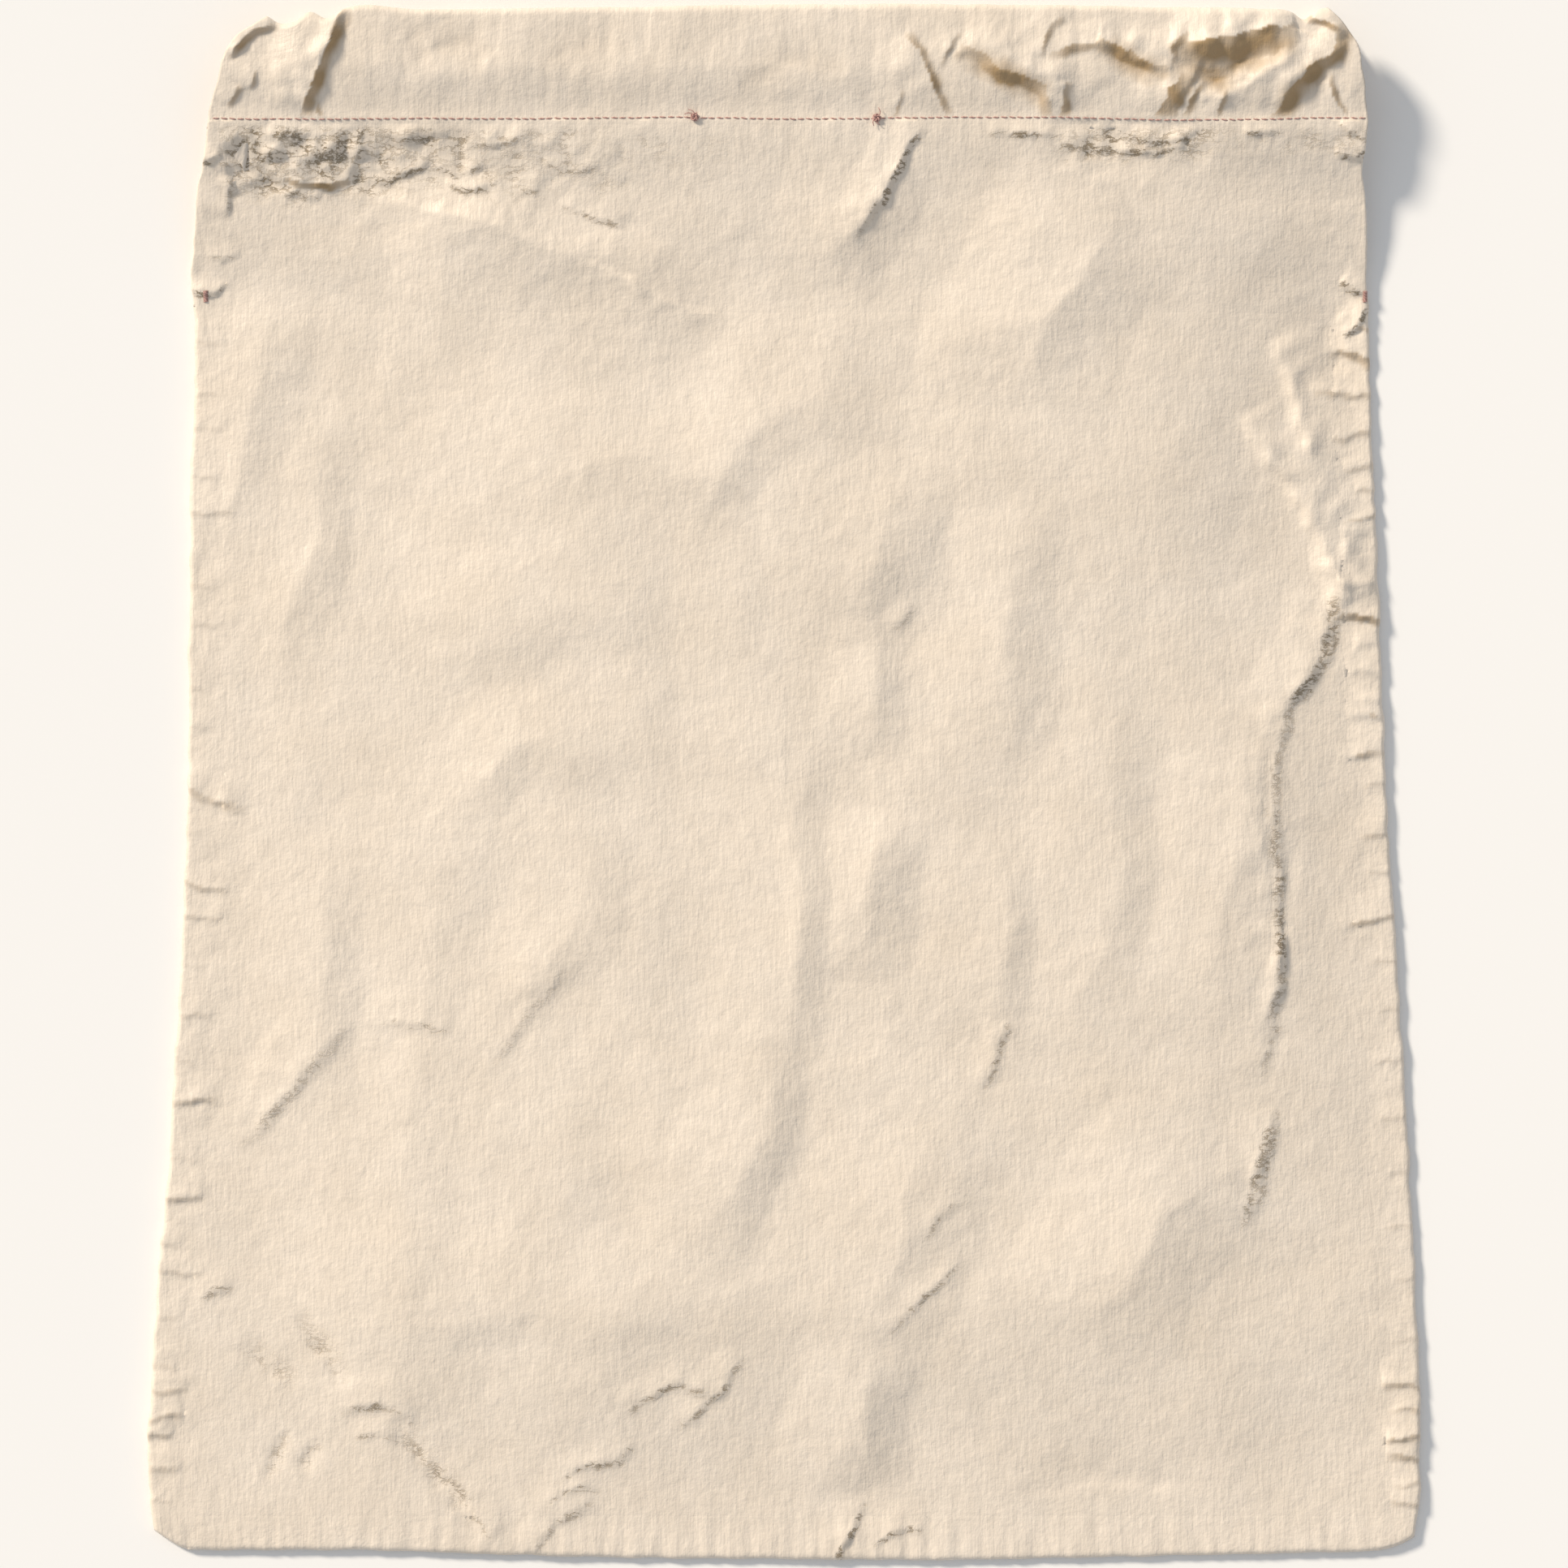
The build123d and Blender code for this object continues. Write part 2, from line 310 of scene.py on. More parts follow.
def lay_folds(x, y, folds, height, shade):
    """Adds folds to height, in mm, and their painted shade to shade, over what is there. Across a
    fold's line the height falls away, gently on the left of its run and steeply on the
    right; along it, it swells from nothing and dies away. Narrow folds waver a little and
    wide ones more. The painted shade lies where shade falls: on the steep side, in the
    hollow, or along a valley."""
    # narrow folds waver by about 1 mm, and wide ones by up to 4 mm more
    warp_x = x + 0.8 * soft_noise(x, y, 6.0, 21) + 0.5 * soft_noise(x, y, 2.4, 22)
    warp_y = y + 0.8 * soft_noise(x, y, 6.0, 23) + 0.5 * soft_noise(x, y, 2.4, 24)
    far_x = warp_x + 4 * soft_noise(x, y, 26, 26)
    far_y = warp_y + 4 * soft_noise(x, y, 26, 27)
    vary = 1 + 0.45 * soft_noise(x, y, 5.0, 25)
    for lift, gentle, steep, brown, points in folds:
        line = rounded(points)
        reach = 2.4 * max(gentle, steep)
        wide = gentle > WIDE_FOLD
        bent_x, bent_y = (far_x, far_y) if wide else (warp_x, warp_y)
        near = np.nonzero(
            (bent_x > line[:, 0].min() - reach)
            & (bent_x < line[:, 0].max() + reach)
            & (bent_y > line[:, 1].min() - reach)
            & (bent_y < line[:, 1].max() + reach)
        )
        if not len(near[0]):
            continue
        at = np.stack([bent_x[near], bent_y[near]], axis=1)[:, None, :]
        far, right, share = beside(line, at)
        swell = np.clip(np.sin(math.pi * share), 0, 1)
        swell = swell if wide else np.sqrt(swell) * vary[near]
        bell = np.where(right, falloff(far, steep), falloff(far, gentle))
        height[near] += lift * swell * bell
        # the painted shade in the hollow beside a fold's steep side is wider under a high fold
        hollow = 0.8 * steep + 0.45 * max(lift - 0.8, 0)
        dark = np.exp(-((np.clip(far - hollow, 0, None) / (0.7 * hollow)) ** 2)) * right
        dark = bell if lift < 0 else dark
        # painted shade: a fold's brown goes into shade above 0, and the dark crease shade of crushed
        # cloth below 0
        tone, old = brown * swell * dark, shade[near]
        if brown < 0:
            shade[near] = np.where(old > DEEP_BROWN, old, np.minimum(old, tone))
        else:
            kept = (old < 0) & (tone < DEEP_BROWN)
            shade[near] = np.where(kept, old, np.maximum(old, tone))


# Folds that can be seen in the front cloth. Each has its height in mm (less than 0 for a
# valley), the width of its gentle and of its steep side in mm, its painted shade (how brown
# the shade painted in it is, or less than 0 where it is crushed and painted with the shade
# of hair-fine creases), and its line from the middle of the bag in mm. The steep side is on
# the right of the line's run.
FRONT_FOLDS = [
    # under the casing, from the left
    (1.5, 4.0, 1.0, 0.8, [(-131, 157.8), (-123, 156.0), (-117, 155.6), (-112, 156.6)]),
    (1.1, 2.8, 0.9, -0.9, [(-134, 167.8), (-128, 167.9), (-121, 167.2)]),
    (0.9, 2.8, 0.8, -0.7, [(-130.5, 152.4), (-126, 153.4), (-121, 151.6)]),
    (-0.8, 1.8, 1.5, -0.8, [(-146, 165.2), (-140.5, 160.4), (-135, 156.8)]),
    (-0.8, 1.4, 1.2, -0.8, [(-137, 158), (-132, 154.6), (-127, 155)]),
    (1.0, 2.8, 0.8, -0.8, [(-110.5, 161.4), (-110, 165), (-110.6, 169)]),
    (0.9, 2.8, 0.8, -0.8, [(-121.5, 163), (-116.5, 164.6), (-113, 168.8)]),
    (0.9, 2.6, 0.9, -0.8, [(-137.5, 162.4), (-132, 163.6), (-126, 162.6)]),
    (0.9, 2.8, 0.8, -0.8, [(-109, 157.4), (-104.5, 156.2), (-100, 157.4), (-91, 162)]),
    (0.8, 2.6, 0.8, -0.6, [(-92, 160.5), (-84, 158), (-78, 161)]),
    (0.8, 2.6, 0.8, -0.6, [(-88, 155.4), (-80, 153.6), (-73, 156.8)]),
    (0.7, 2.6, 0.7, -0.6, [(-104, 168.6), (-96, 166.8), (-88, 168.2)]),
    (0.7, 2.6, 0.7, -0.5, [(-84, 166.6), (-76, 165.6), (-66, 167.4)]),
    (1.4, 4.0, 3.6, 0.0, [(-110, 160.5), (-119, 163), (-128, 161)]),
    (0.6, 2.5, 0.7, -0.5, [(-71, 154.4), (-67.5, 153), (-64, 153.1)]),
    (0.6, 2.5, 0.7, -0.5, [(-62, 160.4), (-55, 158.6), (-48, 159.6)]),
    (0.8, 4.0, 0.9, -0.5, [(-58, 149.8), (-50, 147), (-41, 143.8)]),
    (-1.6, 12.0, 12.0, 0.1, [(-143, 160), (-120, 157), (-95, 158), (-70, 160)]),
    # the long light ridge that starts there and runs down to the right
    (2.6, 22.0, 7.0, 0.0, [(-14, 120), (-50, 135.5), (-80, 145), (-112, 155)]),
    (0.8, 6.0, 1.5, 0.0, [(-15, 119.4), (-27, 123), (-42, 130.6), (-62, 138)]),
    (0.6, 6.0, 1.6, 0.0, [(-60, 138.8), (-84, 146.4), (-108, 153)]),
    # the short fold under the right knot
    (1.2, 6.0, 1.0, -0.81, [(17.5, 141), (22.8, 148.7), (26.8, 155.7), (30.8, 163.8), (36, 170)]),
    (1.8, 14.0, 8.0, 0.0, [(10, 128), (20, 146), (30, 166)]),
    # under the right half of the casing
    (1.0, 2.8, 0.9, -0.81, [(70, 165.4), (80, 164.4), (91, 163.2), (106, 165)]),
    (0.9, 2.4, 0.8, -0.81, [(84, 168.2), (92, 167), (99, 166.2), (107, 167.8)]),
    (0.7, 2.4, 0.8, -0.63, [(52, 168.4), (62, 168), (72, 167.4)]),
    (0.7, 2.0, 0.8, -0.63, [(118, 169), (123, 168.3), (129, 168.8)]),
    (-1.0, 8.0, 6.0, -0.09, [(66, 166), (90, 164.5), (110, 166.5)]),
    # the right slit and the torn look of the tucks below it
    (1.2, 3.0, 0.9, -0.81, [(142, 163.4), (146.6, 162.4), (151.5, 163.6)]),
    (0.9, 3.0, 0.8, -0.63, [(143, 171), (147, 168), (151, 166)]),
    (1.3, 3.6, 0.9, -0.72, [(144, 130.6), (147, 128.6), (151, 127)]),
    (1.0, 3.0, 0.9, -0.72, [(144, 116.4), (148, 120), (151.5, 124.4)]),
    (-1.6, 10.0, 9.0, 0.06, [(134, 128), (142, 112), (140, 92)]),
    # the left slit: the hem's soft inner line, and the small folds at its two ends
    (0.9, 5.0, 0.9, -0.36, [(-145.4, 147), (-144.4, 153), (-144.6, 158), (-148, 163.4)]),
    (1.2, 2.5, 0.8, -0.9, [(-153.5, 161.2), (-150, 161.8), (-146.4, 161.2)]),
    (1.0, 2.5, 0.8, -0.9, [(-155.5, 128.2), (-152, 127.2), (-148.6, 128), (-145.6, 130)]),
    (0.5, 3.0, 0.8, -0.27, [(-150, 137.4), (-146, 136.8), (-142, 137.2)]),
    # right side: the light ridges and the long fold that runs beside the seam
    (1.7, 9.0, 1.7, 0.0, [(127.5, 116), (131.3, 103.6), (134, 95.2), (137.5, 83)]),
    (2.5, 9.0, 2.1, 0.0, [(119, 95), (126, 84.5), (132, 77.8), (139.6, 63.2), (147, 47)]),
    (1.2, 8.0, 1.2, 0.0, [(137, 60), (141, 52), (146, 43)]),
    (1.5, 8.0, 1.4, -0.75, [(129.6, 12), (131.5, 24), (137.5, 30.4), (140, 39.5), (141.8, 49)]),
    (0.6, 2.4, 0.8, -0.6, [(132.5, 20), (137, 26), (141.5, 34), (144, 45)]),
    (1.1, 8.0, 1.6, -0.45, [(122, -77), (127, -58), (127.4, -40), (126.4, -12), (126.2, 3), (130, 20)]),
    (0.6, 2.2, 0.8, -0.6, [(125, -62), (128.6, -48), (128.4, -30), (129, -14)]),
    (-0.6, 1.2, 1.2, -0.15, [(125.5, 12), (124.8, -6), (126.8, -30), (125.6, -50)]),
    (1.0, 7.0, 1.6, -0.52, [(117.5, -115), (122, -100), (126.4, -84)]),
    (0.6, 2.2, 0.8, -0.52, [(121.6, -112), (124.6, -99), (127.8, -88)]),
    (1.6, 15.0, 10.0, 0.0, [(108, -70), (118, -20), (119, 30)]),
    # the soft fold right of the middle, and the shade left of it
    (2.4, 24.0, 13.0, 0.0, [(14, -154), (29, -124), (35, -102), (46, -76)]),
    (0.6, 4.0, 1.0, -0.45, [(50.5, -80), (54, -71), (57.8, -61)]),
    (0.6, 3.0, 0.9, -0.45, [(26, -142), (37, -132), (46, -123)]),
    (0.4, 3.0, 0.8, -0.36, [(36, -118), (40, -112), (47, -108)]),
    # flat facets across the middle, each a slope that faces away from the lamp
    (2.6, 20.0, 12.0, 0.0, [(24, 36), (24, 60), (26, 88)]),
    (0.5, 3.0, 1.2, -0.18, [(27, 40), (30.5, 43), (33, 47)]),
    (1.6, 12.0, 5.0, 0.0, [(25, 8), (25, 26), (27, 42)]),
    (2.6, 16.0, 9.0, 0.0, [(22, -48), (22.5, -25), (24, -6)]),
    (1.5, 16.0, 5.0, 0.0, [(3, -84), (3.5, -30), (6, 16)]),
    (1.3, 14.0, 5.4, 0.0, [(54, -70), (55.5, -44), (57, -14)]),
    (1.8, 14.0, 8.0, 0.0, [(56, 0), (58, 40), (62, 76)]),
    (3.0, 20.0, 14.0, 0.0, [(80, -146), (94, -116), (118, -102)]),
    (3.0, 20.0, 14.0, 0.0, [(64, 96), (70, 126), (92, 148)]),
    (2.3, 14.0, 8.0, 0.0, [(18, -184), (20, -165), (26, -146)]),
    (1.2, 14.0, 6.0, 0.0, [(-119.5, -90), (-118.5, -10)]),
    (1.5, 18.0, 8.0, 0.0, [(-26, 66), (-5, 92), (22, 100)]),
    (1.1, 14.0, 6.0, 0.0, [(-66, 76), (-40, 84), (-10, 76), (12, 66)]),
    (1.8, 16.0, 7.0, 0.0, [(-132, 20), (-124, 60), (-120, 100)]),
    (1.8, 16.0, 8.0, 0.0, [(-146, 60), (-138, 96), (-136, 130)]),
    (0.9, 14.0, 7.0, 0.0, [(-98, 30), (-60, 44), (-30, 34)]),
    (1.4, 12.0, 6.0, 0.0, [(-90, -10), (-70, 8), (-40, 2)]),
    (1.2, 14.0, 7.0, 0.0, [(-70, -60), (-56, -40), (-50, -10)]),
    (0.7, 14.0, 5.0, 0.0, [(-116, -139.5), (-60, -138.5), (-10, -139.5)]),
    (1.2, 14.0, 7.0, 0.0, [(76, -60), (86, -20), (84, 30)]),
    (1.4, 14.0, 7.0, 0.0, [(-30, -120), (-10, -100), (-4, -60)]),
    # lower left
    (1.0, 9.0, 2.2, -0.27, [(-142, -94), (-128, -78), (-114, -62)]),
    (0.6, 6.0, 1.0, -0.36, [(-106, -62.5), (-97, -62), (-87, -63.5)]),
    (0.7, 9.0, 2.0, -0.18, [(-78, -74), (-66, -58), (-55, -46)]),
    (-0.7, 4.0, 1.4, -0.27, [(-141, -146.5), (-132.5, -152.8), (-127, -157.6)]),
    (-0.7, 4.0, 1.4, -0.27, [(-127.4, -138), (-123.2, -144.3), (-118.3, -150.5), (-115.4, -156.6)]),
    (-0.5, 2.4, 1.2, -0.27, [(-128.9, -168.3), (-132.5, -174), (-134.8, -180.6)]),
    (-0.5, 2.4, 1.0, -0.27, [(-120.9, -170.5), (-124, -174), (-126.8, -178)]),
    (0.7, 5.0, 1.2, -0.45, [(-151.5, -134), (-148, -131), (-143, -130.5)]),
    (0.9, 6.0, 1.0, -0.63, [(-116, -163.8), (-110, -161.6), (-104, -161.4), (-96, -166)]),
    (0.6, 3.0, 0.8, -0.54, [(-112, -170), (-106, -168.4), (-100, -170)]),
    (0.8, 6.0, 1.2, -0.45, [(-100, -168), (-92, -176), (-84, -184), (-76, -196)]),
    (-0.9, 6.0, 1.6, -0.18, [(-104, -166), (-96, -174), (-88, -184), (-80, -196)]),
    (0.8, 4.0, 1.0, -0.63, [(-60, -181.6), (-52, -177), (-44, -175.5), (-39, -171)]),
    (0.5, 3.0, 0.9, -0.54, [(-62, -186), (-54, -183), (-48, -183)]),
    (0.7, 4.0, 1.0, -0.63, [(-42, -163), (-33, -157.3), (-28, -155.4), (-19, -158.8)]),
    (0.7, 5.0, 1.0, -0.45, [(-28, -167), (-18, -158), (-11, -148)]),
    (0.8, 6.0, 1.2, -0.72, [(11, -204), (16, -196), (20, -186)]),
    (0.6, 4.0, 1.0, -0.54, [(22, -198), (30, -193), (36, -194)]),
    (0.8, 8.0, 1.6, -0.36, [(-66, -200), (-60, -192), (-50, -185)]),
    (-0.5, 6.0, 2.0, 0.0, [(62, -184), (84, -180), (108, -183)]),
]

# The seams pull the cloth into short tucks along both sides. Each has its place up the
# side in mm, how far it reaches in, how far it tilts, and its strength. Their painted fold
# shade is browner on the right, where the seam pulls harder.
LEFT_TUCKS = [
    (116, 7, -1, 0.5), (100, 8, 2, 0.4), (92, 9, 1, 0.4), (81, 8, -1, 0.4), (70, 12, 1, 0.6),
    (52, 7, 0, 0.4), (41, 9, 1, 0.4), (26, 6, -1, 0.3), (14, 7, 1, 0.3), (1.5, 15, -7, 1.0),
    (-12, 6, 0, 0.3), (-24, 12, -3, 0.8), (-35, 11, 1, 0.6), (-47, 6, 0, 0.3), (-60, 9, 1, 0.6),
    (-71, 6, -1, 0.4), (-83, 13, 2, 0.9), (-97, 7, 0, 0.4), (-108, 10, 1, 0.9),
    (-118, 6, -1, 0.4), (-127, 12, 1, 0.6), (-139, 7, 1, 0.4), (-150, 7, -1, 0.5),
    (-158, 10, 1, 0.8), (-166, 9, 3, 1.0), (-171, 7, 3, 0.9), (-178, 8, 1, 0.7),
    (-186, 6, 0, 0.4),
]
RIGHT_TUCKS = [
    (117, 8, 3, 0.9), (109, 11, 4, 1.2), (100.5, 15, 2, 0.8), (91.5, 10, -1, 0.7),
    (83, 8, 0, 0.6), (76, 6, 1, 0.5), (70, 9, -1, 0.7), (64, 7, 1, 0.5), (53, 10, -1, 0.6),
    (41.9, 13, 3, 1.3), (36, 7, 1, 0.7), (29.5, 9, 0, 0.7), (22, 6, 0, 0.5), (17.5, 10, 1, 0.8),
    (9, 12, -1, 0.8), (0, 7, 1, 0.4), (-13, 8, 1, 0.7), (-22, 6, 0, 0.4), (-33, 15, -3, 0.9),
    (-46, 7, 1, 0.4), (-58, 7, 0, 0.4), (-72, 8, 1, 0.4), (-85, 7, -1, 0.4), (-101, 6, 1, 0.3),
    (-115, 7, 1, 0.4), (-128, 6, 0, 0.3), (-143, 7, -1, 0.4), (-157, 10, 2, 0.9),
    (-163, 8, 1, 0.7), (-168.5, 10, -1, 1.0), (-175.5, 9, 2, 1.0), (-182, 7, 1, 0.6),
    (-187, 8, 1, 0.8),
]
for side, tucks, most_painted_shade in ((-1, LEFT_TUCKS, 0.3), (1, RIGHT_TUCKS, 0.45)):
    for place, depth, tilt, strength in tucks:
        outer = float(edge_x(np.array([place], float), side)[0]) + 2.0
        ends = [(side * outer, place), (side * (outer - 0.5 * depth), place + 0.7 * tilt)]
        ends.append((side * (outer - depth - 2.0), place + tilt - 0.8))
        ends = ends if side < 0 else ends[::-1]
        wide, narrow = 2.0 + 3.2 * strength, 0.6 + 0.5 * strength
        FRONT_FOLDS.append((strength**1.4, wide, narrow, most_painted_shade * strength**1.5, ends))


def front_level(x, y):
    """Height of the calm front cloth: low on the seams and at the bottom fold, highest over
    the middle, and rising from the slits to the stitch row."""
    inward = half_width(x, y) - abs(x)
    climb = ease(inward, 0, np.where(x < 0, LEFT_CLIMB, 1) * CLIMB)
    climb = climb * ease(y, FOLD_END - 4, FOLD_END + CLIMB)
    pouch = EDGE + (MIDDLE - EDGE) * climb
    lip = 0.45 * ease(y, SLIT_FOOT - 6, ROW - 14) + 0.55 * ease(y, ROW - 20, ROW + 2)
    return pouch + (ROW_LEVEL - pouch) * lip


def front_height(x, y):
    """Height of the whole front in mm: its calm level, soft waves, papery dents that are
    deeper in the crushed places, and the folds. Its shade is the painted shade of a fold, how
    brown it is, and less than 0 where the cloth is crushed and the shade of hair-fine creases
    is painted on it."""
    inward = half_width(x, y) - abs(x)
    open_field = ease(inward, 2, 30) * ease(y, FOLD_END - 5, FOLD_END + 25)
    open_field = open_field * (1 - ease(y, ROW - 30, ROW - 3))
    height = front_level(x, y)
    height += open_field * (0.65 * soft_noise(x, y, 60, 1) + 0.3 * soft_noise(x, y, 27, 2))
    height += open_field * 0.7 * crumple(x, 0.45 * y, 24, 15)
    # the papery dents are a third as deep near the seams, the bottom and the casing
    calm = 0.35 + 0.65 * open_field
    height += calm * (0.30 * crumple(x, y, 22, 3) + 0.13 * crumple(x, y, 10, 4))
    height += calm * (0.06 * crumple(x, y, 5, 8) + 0.05 * soft_noise(x, y, 4, 9))
    # the cloth under the casing is the most crushed, most of all at its left end
    under = ease(y, ROW - 26, ROW - 9) * (1 - ease(y, ROW - 3, ROW))
    left_end = 0.5 * (1 - ease(x, -112, -82)) + 0.5 * (1 - ease(x, -90, 10))
    left_end = left_end * ease(x, -151, -140)
    right_end = 0.8 * ease(x, 62, 80) * (1 - 0.7 * ease(x, 104, 114)) * ease(y, ROW - 13, ROW - 6)
    crush_and_painted_shade = under * np.maximum(left_end, right_end)
    coarse, fine = crumple(x, y, 6.0, 11), crumple(x, y, 2.8, 12)
    height += crush_and_painted_shade * (0.75 * coarse + 0.6 * fine)
    # painted shade: crease shade on the crushed cloth, deeper in the hollows of the dents, stored below
    # 0
    hollow = (-fine - 0.5 * coarse).clip(0, 1)
    shade = -(0.3 + 0.7 * hollow) * crush_and_painted_shade.clip(0, 1)
    # narrow upright wrinkles where the cloth is pressed flat round the bottom
    pressed = np.exp(-np.clip(y - BOTTOM, 0, None) / 11.0)
    height += 0.34 * pressed * soft_noise(x, 0.14 * y, 2.6, 13)
    # and small gathers under the stitch row
    gather = np.exp(-(((y - ROW) / 6.0) ** 2))
    height += 0.22 * gather * soft_noise(x, 0.25 * y, 3.4, 14)
    # the side seams pucker the cloth beside them
    pucker = 1 - ease(inward, 8, 16)
    height += pucker * (0.16 * crumple(x, y, 6, 16) + 0.1 * crumple(x, y, 3, 17))
    lay_folds(x, y, FRONT_FOLDS, height, shade)
    return height, shade


def cloth_piece(name, grid, flat, shade, material, ply=PLY):
    """A closed thin shell of cloth. grid is its outer side in mm, as rows of points whose
    runs and rows turn right-handed about the outward way; the inner side is half as fine and
    lies one ply in, deeper at sharp bends, and pentagons join their rims. flat is each
    point's place in the flat cloth, shade its painted fold shade, how brown it is, or less
    than 0 where crease shade is painted on crushed cloth."""
    rows, columns = grid.shape[:2]
    across = np.gradient(grid, axis=1)
    along = np.gradient(grid, axis=0)
    out = np.cross(across, along)
    out /= np.maximum(np.linalg.norm(out, axis=2, keepdims=True), 1e-9)
    bend = sum(abs(np.gradient(np.gradient(grid[:, :, 2], axis=k), axis=k)) for k in (0, 1))
    inner = (grid - (ply + bend.clip(0, DEEPEST))[:, :, None] * out)[::2, ::2]
    points = np.concatenate([grid.reshape(-1, 3), inner.reshape(-1, 3)]) * MM
    outer_id = np.arange(rows * columns).reshape(rows, columns)
    inner_id = rows * columns + np.arange(inner.shape[0] * inner.shape[1])
    inner_id = inner_id.reshape(inner.shape[:2])

    def quads(ids):
        corners = [ids[:-1, :-1], ids[:-1, 1:], ids[1:, 1:], ids[1:, :-1]]
        return np.stack(corners, axis=2).reshape(-1, 4)

    def rim(fine, coarse):
        return np.stack([fine[2::2], fine[1:-1:2], fine[:-2:2], coarse[:-1], coarse[1:]], axis=1)

    faces = [quads(outer_id), quads(inner_id)[:, ::-1]]
    rims = [
        rim(outer_id[0], inner_id[0]),
        rim(outer_id[:, -1], inner_id[:, -1]),
        rim(outer_id[-1, ::-1], inner_id[-1, ::-1]),
        rim(outer_id[::-1, 0], inner_id[::-1, 0]),
    ]
    faces = [face for group in faces + rims for face in group.tolist()]
    made = bpy.data.meshes.new(name)
    made.from_pydata(points.tolist(), [], faces)
    made.materials.append(material)
    smooth = np.ones(len(faces), bool)
    smooth[-sum(len(group) for group in rims) :] = False
    made.polygons.foreach_set("use_smooth", smooth)
    place = np.concatenate([flat.reshape(-1, 2), flat[::2, ::2].reshape(-1, 2)]) * MM
    corner = np.zeros(len(made.loops), np.int32)
    made.loops.foreach_get("vertex_index", corner)
    made.uv_layers.new(name="flat").data.foreach_set("uv", place[corner].ravel())
    # the painted shade of the outer side goes into fold_shade; the inner side gets none
    tone = np.concatenate([shade.ravel(), 0 * shade[::2, ::2].ravel()])
    made.attributes.new("fold_shade", "FLOAT", "POINT").data.foreach_set("value", tone)
    piece = bpy.data.objects.new(name, made)
    bpy.context.scene.collection.objects.link(piece)
    return piece


def spaced(start, end, step):
    """An odd number of even steps from start to end, as near to step as they can be."""
    return np.linspace(start, end, 2 * max(1, round((end - start) / step / 2)) + 1)


def lap_dip(past):
    """How far a piece sinks where it runs on past its joining line by this distance."""
    return LAP_DIP * np.clip(past / LAP, 0, 1)


def between_seams(low, high, half, step, way=1):
    """Points of a sheet that spans the bag between its seams, from low to high, as x and y in
    mm, and how far each lies past the seam's inner line. half sets how many points there are
    in a run, and way is 1 for runs to the right and -1 for runs to the left."""
    y = spaced(low, high, step)[:, None]
    share = way * np.linspace(-1, 1, 2 * round(half / step) + 1)[None, :]
    inner_edge = half_width(share, y) - SEAM
    x = share * (inner_edge + LAP)
    return x, y + 0 * x, abs(x) - inner_edge


